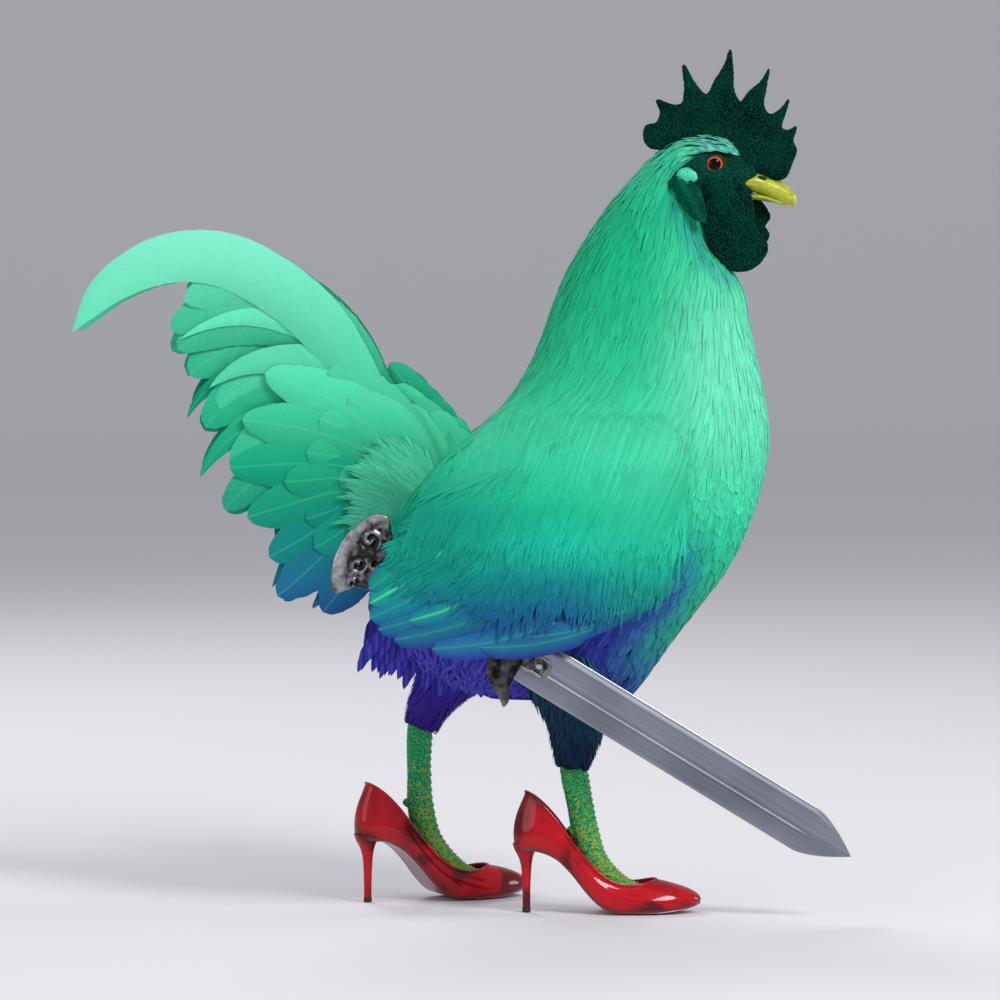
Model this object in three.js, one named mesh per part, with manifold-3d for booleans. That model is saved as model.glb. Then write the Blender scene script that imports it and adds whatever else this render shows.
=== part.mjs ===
// A life-size rooster prop that wears a pair of stiletto pumps and carries a short sword under its right wing.
// Two hollow rubber half shells close round a steel armature: a spine bar, a neck post, a pelvis block and
// a hip axle. The head, the jaw, both wings, the tail and both legs move on it, and the shoes and the sword come off.
// Millimetres. +X is forwards, towards the beak, +Y is the bird's left and +Z is up. The floor is z = 0.
import * as THREE from "three";
import { mergeVertices } from "three/addons/utils/BufferGeometryUtils.js";
import Module from "manifold-3d";

const wasm = await Module();
wasm.setup();

// ---------------------------------------------------------------- driving dimensions
const GAP = 0.3; // between pieces that touch
const RUN = 0.35; // radial play of a faceted shaft in a faceted bore
const ROUND = 16; // sides of a turned piece
const PIN = 2.5; // radius of the hinge pins

const FEATHER_LAYER = 4; // depth of the feather coat over the rubber shells
const SHELL_WALL = 3;
const CAPE_WALL = 5;

const SPINE = { from: -14, to: 128, bottom: 262, top: 270, half: 6 };
const FRAME_BOLT = { rear: 10, front: 112, radius: 3, half: 67 };
const HIP = { x: 56, z: 224, y: 36, axle: 4, nut: 8, nutFrom: 47.4, nutTo: 53 };
const PELVIS = { back: 44, front: 68, half: 20, bottom: 214 };
const BALLAST = { back: -37, half: 10, bottom: 218, top: 258 };
const SWING_ROOM = 44; // half the length of the slot that a thigh swings in
const SLOT = { inner: 13, outer: 75 };
const SQUEAKER = { x: 78, radius: 11, from: 146, to: 170, hole: 3 };

const NECK = { x: 150, z: 480, tilt: THREE.MathUtils.degToRad(15), radius: 6, stub: 14 };
const NECK_JOINT = { cape: 3.6, head: 5, plug: 11 }; // heights above that point, along the post
const HEAD_WALL = 4;
const EYE = { x: 177.7, y: 13.2, z: 519.6, radius: 7.5 };
const JAW = { x: 201, z: 496, pin: 1.6, pinHalf: 8, drum: 4.5, half: 6 };
const COMB_HALF = 2.5;
const WATTLE = { from: 9.5, to: 14.5 };
const EAR_LOBE = { x: 159, z: 501, long: 14, wide: 8, slant: 0.35, from: 24.2, to: 27.5 };

const SHOULDER = { y: 66, z: 316, from: 74, to: 122, radius: 5, ear: 5.7, lip: 3.6 };
const WING = { panel: 3.4, flight: 3, overBody: 9, overSword: 92.5 };
const TAIL = { x: -42, z: 292, drum: 10, half: 14, ear: 4 };
const FAN = { from: 6.3, to: 9.5 };
const SICKLE_Y = 12;

const RIGHT_FOOT = { x: 91.3, y: -38, yaw: 0 };
const LEFT_FOOT = { x: -23.7, y: 38, yaw: THREE.MathUtils.degToRad(22) };
const SOLE_THICK = 2.5;
const UPPER_WALL = 1.8;
const HEEL = { x: -45.5, tip: 3.2, tipHeight: 2.6 };

const SWORD = { x: 37.1, y: -80, z: 186, slope: THREE.MathUtils.degToRad(31.5) };
const BLADE = { from: 12.5, taper: 236, to: 273, half: 17, thick: 1.4, edge: 0.25, flat: 12, fuller: 4, groove: 0.7 };
const TANG = { half: 4, thick: 2, end: -132 };
const GRIP = { from: -13.3, to: -101, deep: 11, wide: 9.5, ridges: 6, ridge: 0.6 };
const GUARD_HALF = 7;
const POMMEL_HALF = 6.5;
const MAGNET = { x: -5, z: 211.5, radius: 9, from: 54, to: 69.6 };

// Heights up the trunk, each with the back, the front and the half width of the feather coat there.
const TRUNK = [
  [146, 30, 112, 20],
  [160, -8, 128, 40],
  [180, -38, 144, 55],
  [205, -54, 164, 65],
  [235, -58, 184, 70],
  [270, -46, 202, 72],
  [300, -24, 211, 70],
  [325, 4, 213, 65],
  [350, 32, 208, 58],
  [380, 48, 203, 51],
  [410, 60, 196, 45],
  [424, 66, 188, 41],
];
// The same up the hackle cape. Its throat is set back to clear the wattles.
const CAPE = [
  [333, 14, 217, 69],
  [355, 40, 213, 63],
  [385, 53, 207, 57],
  [412, 62, 203, 52],
  [430, 68, 199, 47],
  [441, 72, 171, 43],
  [462, 82, 164, 36],
  [484, 103, 163, 26],
  [506, 116, 168, 22],
];
const HEAD = [
  [466, 108, 172, 23],
  [486, 111, 187, 24],
  [492, 113, 197, 24],
  [499, 118, 204, 23.5],
  [506, 122, 207, 23],
  [515, 130, 208, 21],
  [525, 137, 206, 18],
  [533, 143, 198, 13],
  [538, 150, 186, 7],
];

// ---------------------------------------------------------------- solids
function toSolid(geometry) {
  const bare = new THREE.BufferGeometry();
  const source = geometry.index ? geometry.toNonIndexed() : geometry;
  bare.setAttribute("position", source.getAttribute("position"));
  const merged = mergeVertices(bare, 1e-4);
  return new wasm.Manifold(
    new wasm.Mesh({
      numProp: 3,
      vertProperties: new Float32Array(merged.attributes.position.array),
      triVerts: new Uint32Array(merged.index.array),
    }),
  );
}

function toGeometry(solid) {
  const mesh = solid.getMesh();
  const points = new Float32Array(mesh.numVert * 3);
  for (let i = 0; i < mesh.numVert; i++) {
    points.set(mesh.vertProperties.subarray(i * mesh.numProp, i * mesh.numProp + 3), i * 3);
  }
  const geometry = new THREE.BufferGeometry();
  geometry.setAttribute("position", new THREE.BufferAttribute(points, 3));
  geometry.setIndex(new THREE.BufferAttribute(new Uint32Array(mesh.triVerts), 1));
  geometry.computeVertexNormals();
  return geometry;
}

const join = (first, ...rest) => rest.reduce((whole, piece) => whole.add(piece), first);
const cut = (first, ...rest) => rest.reduce((whole, piece) => whole.subtract(piece), first);

function box(x0, x1, y0, y1, z0, z1) {
  const geometry = new THREE.BoxGeometry(x1 - x0, y1 - y0, z1 - z0);
  return toSolid(geometry.translate((x0 + x1) / 2, (y0 + y1) / 2, (z0 + z1) / 2));
}

// A cylinder along X or Y from one place on that axis to another, centred at (a, b) on the other two.
function rod(axis, from, to, a, b, radius, sides = ROUND) {
  const geometry = new THREE.CylinderGeometry(radius, radius, to - from, sides);
  const middle = (from + to) / 2;
  if (axis === "x") geometry.rotateZ(Math.PI / 2).translate(middle, a, b);
  else geometry.translate(a, middle, b);
  return toSolid(geometry);
}

// A closed body through rings of equally many points, with a fan over each end.
function loft(rings) {
  const count = rings[0].length;
  const points = rings.flat();
  const faces = [];
  for (let r = 0; r + 1 < rings.length; r++) {
    for (let i = 0; i < count; i++) {
      const a = r * count + i;
      const b = r * count + ((i + 1) % count);
      faces.push([a, b, a + count], [b, b + count, a + count]);
    }
  }
  const lastRing = (rings.length - 1) * count;
  for (const start of [0, lastRing]) {
    const centre = new THREE.Vector3();
    for (let i = 0; i < count; i++) centre.add(points[start + i]);
    points.push(centre.divideScalar(count));
    for (let i = 0; i < count; i++) {
      const edge = [start + i, start + ((i + 1) % count)];
      if (start === 0) edge.reverse();
      faces.push([...edge, points.length - 1]);
    }
  }
  const volume = faces.reduce(
    (sum, [a, b, c]) => sum + points[a].dot(new THREE.Vector3().crossVectors(points[b], points[c])),
    0,
  );
  if (volume < 0) faces.forEach((face) => face.reverse());
  const geometry = new THREE.BufferGeometry().setFromPoints(points);
  geometry.setIndex(faces.flat());
  return toSolid(geometry);
}

// Level slices up Z, each an oval from its back to its front. Shrinking it leaves its two end slices level.
function stack(rows, { grow = 0, sides = 20 } = {}) {
  return loft(
    rows.map(([z, back, front, half]) =>
      Array.from({ length: sides }, (_, i) => {
        const turn = (2 * Math.PI * i) / sides;
        return new THREE.Vector3(
          (front + back) / 2 + ((front - back) / 2 + grow) * Math.cos(turn),
          (half + grow) * Math.sin(turn),
          z,
        );
      }),
    ),
  );
}

// Slices along X, each a rounded rectangle from a low to a high z.
function slices(rows, sides = 14) {
  const corner = 0.62;
  const soft = (value) => Math.sign(value) * Math.abs(value) ** corner;
  return loft(
    rows.map(([x, low, high, half]) =>
      Array.from({ length: sides }, (_, i) => {
        const turn = (2 * Math.PI * (i + 0.5)) / sides;
        const rise = ((high - low) / 2) * soft(Math.sin(turn));
        return new THREE.Vector3(x, half * soft(Math.cos(turn)), (high + low) / 2 + rise);
      }),
    ),
  );
}

// A tapering body along a smooth line. Each row is x, y, z, then half its depth in the XZ plane and half its width.
function sweep(rows, { steps = 8, sides = 12, grow = 0 } = {}) {
  const line = new THREE.CatmullRomCurve3(rows.map(([x, y, z]) => new THREE.Vector3(x, y, z)));
  const sizes = new THREE.CatmullRomCurve3(rows.map((row) => new THREE.Vector3(row[3], row[4], 0)));
  const rings = [];
  for (let s = 0; s <= steps; s++) {
    const along = line.getTangent(s / steps);
    const push = s === 0 ? -grow : s === steps ? grow : 0;
    const centre = line.getPoint(s / steps).addScaledVector(along, push);
    const deep = new THREE.Vector3(-along.z, 0, along.x).normalize();
    const wide = new THREE.Vector3().crossVectors(along, deep).normalize();
    const size = sizes.getPoint(s / steps);
    rings.push(
      Array.from({ length: sides }, (_, i) => {
        const turn = (2 * Math.PI * (i + 0.5)) / sides;
        return centre
          .clone()
          .addScaledVector(deep, (size.x + grow) * Math.cos(turn))
          .addScaledVector(wide, (size.y + grow) * Math.sin(turn));
      }),
    );
  }
  return loft(rings);
}

function plateGeometry(outline, y0, y1, bevel = 0) {
  const shape = new THREE.Shape(outline.map(([x, z]) => new THREE.Vector2(x, z)));
  const geometry = new THREE.ExtrudeGeometry(shape, {
    depth: y1 - y0 - 2 * bevel,
    bevelEnabled: bevel > 0,
    bevelSize: bevel,
    bevelThickness: bevel,
    bevelOffset: -bevel,
    bevelSegments: 1,
  });
  // The extrusion runs along the shape's own Z, which becomes -Y once the shape stands up in the XZ plane.
  return geometry.rotateX(Math.PI / 2).translate(0, y1 - bevel, 0);
}

// An outline in the XZ plane, given as [x, z] points, made thick along Y.
const plate = (outline, y0, y1, bevel = 0) => toSolid(plateGeometry(outline, y0, y1, bevel));

// A smooth closed outline through the given [x, z] points.
function smooth(outline, divisions) {
  const curve = new THREE.SplineCurve([...outline, outline[0]].map(([x, z]) => new THREE.Vector2(x, z)));
  return curve.getPoints(divisions).slice(0, -1).map((point) => [point.x, point.y]);
}

// A slab across the neck post, between two heights along it.
function neckSlab(from, to) {
  const reach = 300;
  const geometry = new THREE.BoxGeometry(reach, reach, to - from).translate(0, 0, (from + to) / 2);
  return toSolid(geometry.rotateY(NECK.tilt).translate(NECK.x, 0, NECK.z));
}

// A cylinder along the neck post.
function neckRod(from, to, radius) {
  const geometry = new THREE.CylinderGeometry(radius, radius, to - from, ROUND);
  geometry.rotateX(Math.PI / 2).translate(0, 0, (from + to) / 2);
  return toSolid(geometry.rotateY(NECK.tilt).translate(NECK.x, 0, NECK.z));
}

// ---------------------------------------------------------------- materials
const paint = (color, roughness, metalness = 0) =>
  new THREE.MeshStandardMaterial({ color, roughness, metalness });

const MATERIALS = {
  shell: paint(0x1fa287, 0.7),
  hackle: paint(0x3cc492, 0.6),
  plume: paint(0x45c79c, 0.55),
  wing: paint(0x1fa58c, 0.6),
  fluff: paint(0x3d2f97, 0.8),
  comb: paint(0x03402b, 0.5),
  eye: paint(0xe0482a, 0.1),
  beak: paint(0xc2bd2c, 0.4),
  leg: paint(0x3d9a50, 0.6),
  patent: paint(0x9c0c22, 0.12),
  steel: paint(0x8f959c, 0.35, 1),
  blade: paint(0x9aa1ab, 0.35, 1),
  hilt: paint(0x57565a, 0.45, 1),
  plastic: paint(0xe6e2d6, 0.5),
};

const rooster = new THREE.Group();

function add(name, material, solid, group = rooster) {
  const mesh = new THREE.Mesh(toGeometry(solid), MATERIALS[material]);
  mesh.name = name;
  group.add(mesh);
  return mesh;
}

// The right-hand piece is modelled, and the left-hand one mirrors it.
function addPair(name, material, solid) {
  add(name + "_right", material, solid);
  add(name + "_left", material, solid).scale.y = -1;
}

// ---------------------------------------------------------------- trunk
const coat = (grow) => TRUNK.map(([z, back, front, half]) => [z, back - grow, front + grow, half + grow]);

// Half the width of the feather coat at a place on the trunk's side, or 0 past its ends.
function coatHalfWidth(x, z) {
  let i = 0;
  while (i < TRUNK.length - 2 && TRUNK[i + 1][0] < z) i++;
  const [low, high] = [TRUNK[i], TRUNK[i + 1]];
  const share = THREE.MathUtils.clamp((z - low[0]) / (high[0] - low[0]), 0, 1);
  const [back, front, half] = [1, 2, 3].map((k) => low[k] + (high[k] - low[k]) * share);
  const across = (x - (back + front) / 2) / ((front - back) / 2);
  return half * Math.sqrt(Math.max(0, 1 - across * across));
}

// The slot that a thigh hangs through and swings in, round a line that leans from the hip. side is 1 on the left.
function legSlot(side, lean) {
  const half = [
    [36, 14],
    [38, -34],
    [SWING_ROOM, -70],
    [SWING_ROOM, -140],
  ];
  const outline = [...half, ...half.map(([x, z]) => [-x, z]).reverse()];
  const [near, far] = side > 0 ? [SLOT.inner, SLOT.outer] : [-SLOT.outer, -SLOT.inner];
  return toSolid(plateGeometry(outline, near, far).rotateY(lean).translate(HIP.x, 0, HIP.z));
}

// The two ears and the base of a shoulder hinge, on the right side unless mirrored.
function shoulderBracket(side, grow = 0) {
  const across = (from, to) => (side > 0 ? [from - grow, to + grow] : [-to - grow, -from + grow]);
  const low = SHOULDER.z - SHOULDER.radius - grow;
  const high = SHOULDER.z + SHOULDER.radius + grow;
  const pieces = [
    [SHOULDER.from - GAP - SHOULDER.ear, SHOULDER.from - GAP, 55, SHOULDER.y + SHOULDER.lip],
    [SHOULDER.to + GAP, SHOULDER.to + GAP + SHOULDER.ear, 55, SHOULDER.y + SHOULDER.lip],
    [SHOULDER.from - GAP - SHOULDER.ear, SHOULDER.to + GAP + SHOULDER.ear, 55, SHOULDER.y - SHOULDER.radius - 1],
  ];
  return join(...pieces.map(([x0, x1, from, to]) => box(x0 - grow, x1 + grow, ...across(from, to), low, high)));
}

// Two ears that hold the tail's pin, on a foot that is bolted to the spine bar.
function tailBracket(grow = 0) {
  const inner = TAIL.half + GAP;
  const ears = [-inner - TAIL.ear, inner].map((y) =>
    box(TAIL.x - 9 - grow, -2 + grow, y - grow, y + TAIL.ear + grow, SPINE.top + GAP - grow, TAIL.z + 9 + grow),
  );
  const foot = box(SPINE.from, -2 + grow, -inner - 2, inner + 2, SPINE.top + GAP - grow, SPINE.top + 5 + grow);
  return join(foot, ...ears);
}

function buildShells() {
  const outside = stack(coat(-FEATHER_LAYER), { sides: 28 });
  const insideRows = coat(-FEATHER_LAYER - SHELL_WALL);
  insideRows[0][0] += SHELL_WALL;
  insideRows.at(-1)[0] += 10;
  const openings = [
    stack(insideRows, { sides: 28 }),
    toSolid(
      new THREE.CylinderGeometry(SQUEAKER.radius + GAP, SQUEAKER.radius + GAP, 60, ROUND)
        .rotateX(Math.PI / 2)
        .translate(SQUEAKER.x, 0, SQUEAKER.from),
    ),
    legSlot(1, 0.72),
    legSlot(-1, -0.22),
    shoulderBracket(1, GAP),
    shoulderBracket(-1, GAP),
    ...[-1, 1].map((side) =>
      rod("x", SHOULDER.from - 1, SHOULDER.to + 1, side * SHOULDER.y, SHOULDER.z, SHOULDER.radius + 1),
    ),
    tailBracket(GAP),
    rod("y", -MAGNET.to - 9, -MAGNET.from + 9, MAGNET.x, MAGNET.z, MAGNET.radius + GAP),
    ...[FRAME_BOLT.rear, FRAME_BOLT.front].map((x) => rod("y", -90, 90, x, SPINE.top - 4, FRAME_BOLT.radius + GAP)),
  ];
  const shell = cut(outside, ...openings);
  add("body_shell_left", "shell", cut(shell, box(-300, 300, -200, GAP / 2, 0, 500)));
  add("body_shell_right", "shell", cut(shell, box(-300, 300, -GAP / 2, 200, 0, 500)));
}

function buildArmature() {
  const boltZ = SPINE.top - 4;
  const bolts = [FRAME_BOLT.rear, FRAME_BOLT.front];
  const bar = box(SPINE.from, SPINE.to, -SPINE.half, SPINE.half, SPINE.bottom, SPINE.top);
  add("spine_bar", "steel", cut(bar, ...bolts.map((x) => rod("y", -20, 20, x, boltZ, FRAME_BOLT.radius + GAP))));
  ["rear", "front"].forEach((end, i) => {
    const reach = coatHalfWidth(bolts[i], boltZ) - FEATHER_LAYER;
    add("frame_bolt_" + end, "steel", rod("y", -reach, reach, bolts[i], boltZ, FRAME_BOLT.radius, 12));
  });
  const post = cut(neckRod(-240, NECK.stub, NECK.radius), box(0, 200, -50, 50, 0, SPINE.top + GAP));
  add("neck_post", "steel", post);
  const block = box(PELVIS.back, PELVIS.front, -PELVIS.half, PELVIS.half, PELVIS.bottom, SPINE.bottom - GAP);
  const ballast = box(BALLAST.back, PELVIS.front - 5, -BALLAST.half, BALLAST.half, BALLAST.bottom, BALLAST.top);
  add("pelvis_block", "steel", cut(join(block, ballast), rod("y", -30, 30, HIP.x, HIP.z, HIP.axle + GAP)));
  add("hip_axle", "steel", rod("y", -HIP.nutTo, HIP.nutTo, HIP.x, HIP.z, HIP.axle));
  const nut = rod("y", -HIP.nutTo + 1, -HIP.nutFrom, HIP.x, HIP.z, HIP.nut, 6);
  addPair("hip_nut", "steel", cut(nut, rod("y", -90, 0, HIP.x, HIP.z, HIP.axle + GAP)));
  add("tail_bracket", "steel", cut(tailBracket(), rod("y", -30, 30, TAIL.x, TAIL.z, PIN + GAP)));
  const pinHalf = TAIL.half + GAP + TAIL.ear;
  add("tail_pin", "steel", rod("y", -pinHalf, pinHalf, TAIL.x, TAIL.z, PIN, 16));
  const pinBore = rod("x", 0, 200, -SHOULDER.y, SHOULDER.z, PIN + GAP);
  addPair("shoulder_bracket", "steel", cut(shoulderBracket(-1), pinBore));
  const pinEnds = [SHOULDER.from - SHOULDER.ear, SHOULDER.to + SHOULDER.ear];
  addPair("shoulder_pin", "steel", rod("x", ...pinEnds, -SHOULDER.y, SHOULDER.z, PIN, 16));
  add("sword_magnet", "steel", rod("y", -MAGNET.to, -MAGNET.from, MAGNET.x, MAGNET.z, MAGNET.radius));
}

function buildSqueaker() {
  const bellows = new THREE.LatheGeometry(
    [
      [SQUEAKER.hole, 0],
      [SQUEAKER.radius, 0],
      [SQUEAKER.radius, 5],
      [SQUEAKER.radius - 2.5, 8],
      [SQUEAKER.radius, 11],
      [SQUEAKER.radius - 2.5, 14],
      [SQUEAKER.radius, 17],
      [SQUEAKER.radius - 2.5, 20],
      [SQUEAKER.radius - 2.5, 24],
      [SQUEAKER.hole, 24],
      [SQUEAKER.hole, 0],
    ].map(([radius, height]) => new THREE.Vector2(radius, height)),
    ROUND,
  );
  add("squeaker", "plastic", toSolid(bellows.rotateX(Math.PI / 2).translate(SQUEAKER.x, 0, SQUEAKER.from)));
}

function buildCape() {
  const inside = CAPE.map((row, i) => [row[0] + (i ? 0 : -10), ...row.slice(1)]);
  const trunk = stack(coat(-FEATHER_LAYER), { grow: GAP, sides: 28 });
  const cape = cut(stack(CAPE, { sides: 24 }), stack(inside, { grow: -CAPE_WALL, sides: 24 }), trunk);
  add("hackle_cape", "hackle", cut(cape, neckSlab(NECK_JOINT.cape, 90)));
}

// ---------------------------------------------------------------- head
const headGrown = stack(HEAD, { grow: GAP });

const COMB_OUTLINE = [
  [131, 536], [130, 543], [137, 549], [138, 563], [150, 560], [156, 589], [166, 573], [173, 570], [179, 577],
  [189, 600], [192, 570], [198, 564], [206, 571], [216, 586], [214, 562], [221, 558], [230, 565], [226, 545],
  [235, 546], [234, 525], [226, 511], [213, 508], [196, 522], [178, 534], [156, 537],
];
const WATTLE_OUTLINE = [
  [200, 500], [207, 489], [207, 475], [216, 460], [211, 451], [200, 446], [193, 445], [184, 448], [175, 461],
  [170, 477], [171, 492], [185, 497],
];

function buildHead() {
  const cavity = stack(HEAD.slice(0, -1), { grow: -HEAD_WALL });
  const eyes = [-1, 1].map((side) =>
    toSolid(new THREE.SphereGeometry(EYE.radius + GAP, 14, 9).translate(EYE.x, side * EYE.y, EYE.z)),
  );
  const drumRoom = rod("y", -JAW.half - GAP, JAW.half + GAP, JAW.x, JAW.z, JAW.drum + 0.7);
  const chinRoom = box(JAW.x, JAW.x + 20, -JAW.half - GAP, JAW.half + GAP, JAW.z - 16, JAW.z + JAW.drum + 0.7);
  const pinBore = rod("y", -30, 30, JAW.x, JAW.z, JAW.pin + GAP);
  const shell = cut(stack(HEAD), cavity, ...eyes, drumRoom, chinRoom, pinBore, neckSlab(-90, NECK_JOINT.head));
  add("head_shell", "hackle", shell);

  const plug = stack(HEAD.slice(0, -1), { grow: -HEAD_WALL - GAP }).intersect(
    neckSlab(NECK_JOINT.head, NECK_JOINT.plug),
  );
  const clearOfJaw = rod("y", -30, 30, JAW.x, JAW.z, JAW.drum + 2);
  add("head_swivel", "plastic", cut(plug, neckRod(-20, 60, NECK.radius + RUN), clearOfJaw));
  add("comb", "comb", cut(plate(COMB_OUTLINE, -COMB_HALF, COMB_HALF), headGrown, upperBeak(GAP)));
  addPair("wattle", "comb", cut(plate(smooth(WATTLE_OUTLINE, 28), -WATTLE.to, -WATTLE.from, 1), headGrown));

  const lobe = Array.from({ length: 16 }, (_, i) => {
    const turn = (2 * Math.PI * i) / 16;
    const [along, across] = [EAR_LOBE.long * Math.cos(turn), EAR_LOBE.wide * Math.sin(turn)];
    return [
      EAR_LOBE.x + along * Math.sin(EAR_LOBE.slant) + across * Math.cos(EAR_LOBE.slant),
      EAR_LOBE.z + along * Math.cos(EAR_LOBE.slant) - across * Math.sin(EAR_LOBE.slant),
    ];
  });
  addPair("ear_lobe", "comb", plate(lobe, -EAR_LOBE.to, -EAR_LOBE.from, 0.8));
  const eyeball = new THREE.SphereGeometry(EYE.radius, 14, 9).translate(EYE.x, -EYE.y, EYE.z);
  addPair("eye", "eye", toSolid(eyeball));
}

const upperBeak = (grow) =>
  sweep(
    [
      [198, 0, 511, 9, 10],
      [210, 0, 509, 8, 8],
      [223, 0, 503.5, 5.5, 5],
      [234, 0, 492, 1.5, 1.5],
    ],
    { steps: 8, grow },
  );

function buildBeak() {
  add("beak_upper", "beak", cut(upperBeak(0), headGrown));
  add("jaw_pin", "steel", rod("y", -JAW.pinHalf, JAW.pinHalf, JAW.x, JAW.z, JAW.pin, 12));
  const drum = rod("y", -JAW.half, JAW.half, JAW.x, JAW.z, JAW.drum);
  const lower = sweep(
    [
      [JAW.x + 2, 0, JAW.z, 3.6, JAW.half],
      [212, 0, 494, 3.2, 5],
      [226, 0, 488.5, 1.2, 1.8],
    ],
    { steps: 6 },
  );
  add("beak_lower", "beak", cut(join(drum, lower), rod("y", -30, 30, JAW.x, JAW.z, JAW.pin + RUN)));
}

// ---------------------------------------------------------------- wings
// How far out the middle of the wing panel stands. It swells over the hilt and closes on the breast.
function wingOut(x, z) {
  const close = coatHalfWidth(x, z) + WING.overBody;
  const { smoothstep } = THREE.MathUtils;
  const swell = smoothstep(-x, -125, -62) * smoothstep(-z, -(SHOULDER.z + 2), -284);
  return close + (WING.overSword - close) * swell;
}

// A curved plate on the right side. Each row is x, then the top and the bottom edge. offset moves it outwards.
function wingPlate(rows, inner, outer, across = 8) {
  return loft(
    rows.map(([x, top, bottom]) => {
      const line = Array.from({ length: across + 1 }, (_, i) => bottom + ((top - bottom) * i) / across);
      const face = (offset) => line.map((z) => new THREE.Vector3(x, -wingOut(x, z) - offset, z));
      return [...face(outer), ...face(inner).reverse()];
    }),
  );
}

const WING_ROWS = [
  [137, 298, 234],
  [128, 307, 222],
  [114, 312, 208],
  [98, 313, 199],
  [80, 313, 194],
  [56, 313, 190],
  [38, 311, 186],
  [21, 308, 183],
  [0, 296, 180],
  [-16, 284, 180],
  [-38, 262, 184],
  [-50, 240, 192],
];
const FLIGHT_ROWS = [
  [44, 250, 196],
  [20, 250, 186],
  [-5, 254, 181],
  [-30, 258, 182],
  [-50, 242, 188],
  [-64, 226, 200],
  [-68, 218, 208],
];

function buildWings() {
  const half = WING.panel / 2;
  addPair("wing_panel", "wing", wingPlate(WING_ROWS, -half, half));
  addPair("wing_flight_feathers", "wing", wingPlate(FLIGHT_ROWS, half + GAP + 0.1, half + GAP + 0.1 + WING.flight));
  const barrel = rod("x", SHOULDER.from, SHOULDER.to, -SHOULDER.y, SHOULDER.z, SHOULDER.radius);
  const leaf = box(SHOULDER.from + 2, SHOULDER.to - 2, -82, -SHOULDER.y, SHOULDER.z - 7, SHOULDER.z - 3);
  const beyond = wingPlate(WING_ROWS, -half - GAP - 0.1, 30, 12);
  const bore = rod("x", 0, 200, -SHOULDER.y, SHOULDER.z, PIN + RUN);
  addPair("wing_hinge_leaf", "steel", cut(join(barrel, leaf), beyond, bore));
}

// ---------------------------------------------------------------- tail
const SICKLE_LINE = [
  [-55, -SICKLE_Y, 312, 5, 1.6],
  [-60, -SICKLE_Y, 345, 9, 1.8],
  [-80, -SICKLE_Y, 395, 14, 2],
  [-120, -SICKLE_Y, 438, 15, 2],
  [-166, -SICKLE_Y, 457, 15, 2],
  [-212, -SICKLE_Y, 450, 12.5, 1.9],
  [-247, -SICKLE_Y, 429, 8.5, 1.6],
  [-268.5, -SICKLE_Y, 405, 2.5, 1.2],
];
const FAN_OUTLINE = [
  [-50, 290], [-66, 250], [-78, 212], [-92, 206], [-103, 210], [-108, 222], [-119, 216], [-130, 222], [-128, 246],
  [-146, 268], [-150, 285], [-168, 279], [-182, 300], [-174, 330], [-192, 344], [-188, 372], [-202, 402],
  [-188, 432], [-154, 446], [-112, 428], [-76, 392], [-52, 350], [-44, 312],
];

function buildTail() {
  const drum = rod("y", -TAIL.half, TAIL.half, TAIL.x, TAIL.z, TAIL.drum);
  const armOutline = [[-36, 286], [-38, 318], [-52, 332], [-66, 322], [-62, 296], [-50, 284]];
  const arm = plate(armOutline, -FAN.from + GAP, FAN.from - GAP);
  add("tail_block", "plastic", cut(join(drum, arm), rod("y", -60, 60, TAIL.x, TAIL.z, PIN + RUN)));
  const drumRoom = rod("y", -60, 60, TAIL.x, TAIL.z, TAIL.drum + GAP);
  addPair("tail_fan", "plume", cut(plate(FAN_OUTLINE, -FAN.to, -FAN.from), drumRoom));
  addPair("sickle_feather", "plume", sweep(SICKLE_LINE, { steps: 16, sides: 8 }));
}

// ---------------------------------------------------------------- legs
// Each leg is a list of rows for sweep(): the thigh from the hip to the hock, then the shank down to the ankle.
const LEGS = {
  right: {
    foot: RIGHT_FOOT,
    thigh: [
      [HIP.x, -HIP.y, HIP.z + 10, 13, 11],
      [62, -36, 190, 20, 13],
      [74, -37, 155, 19, 14],
      [80, -38, 128, 18, 13],
      [82, -38, 106, 12, 11],
    ],
    shank: [
      [80, -38, 120, 7, 6.5],
      [81, -38, 98, 9.5, 8],
      [86.5, -38, 66, 9.5, 8],
      [91.3, -38, 38, 7, 7],
    ],
  },
  left: {
    foot: LEFT_FOOT,
    thigh: [
      [HIP.x + 6, HIP.y, HIP.z + 8, 13, 11],
      [34, 36, 198, 20, 13],
      [6, 36, 170, 20, 14],
      [-16, 36, 145, 17, 13],
      [-26, 37, 124, 12, 11],
    ],
    shank: [
      [-23, 37, 136, 7, 6.5],
      [-28, 37, 112, 9.5, 8],
      [-28, 38, 72, 9, 8],
      [-23.7, 38, 38, 7, 7],
    ],
  },
};

const FOOT = [
  [-10, 33, 48, 6],
  [-5, 26, 56, 10],
  [3, 17, 54, 11.5],
  [11, 9.5, 42, 13],
  [20, 6.6, 29, 14],
  [30, 6, 19, 15],
  [40, 6, 13.5, 12],
];

// The upper from the back of the heel to the toe: x, the bottom, the topline or the vamp, and half the width.
const UPPER = [
  [-56, 52, 64, 6],
  [-53, 47, 78, 10.5],
  [-47, 45.5, 86, 13.5],
  [-38, 46, 79, 15.5],
  [-24, 40, 66, 16],
  [-13, 29.5, 50, 16.5],
  [-3, 16.5, 38, 18],
  [7, 6.5, 27.5, 20],
  [17, 2.8, 20.5, 21.5],
  [30, 2.8, 17.5, 22],
  [44, 2.8, 21, 21.5],
  [56, 3.8, 19.5, 18],
  [68, 6, 15.5, 12],
  [77, 8.6, 12, 4],
];
const LAST_OPEN_ROW = 9; // the mouth of the shoe ends in front of this row, at the vamp

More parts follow.
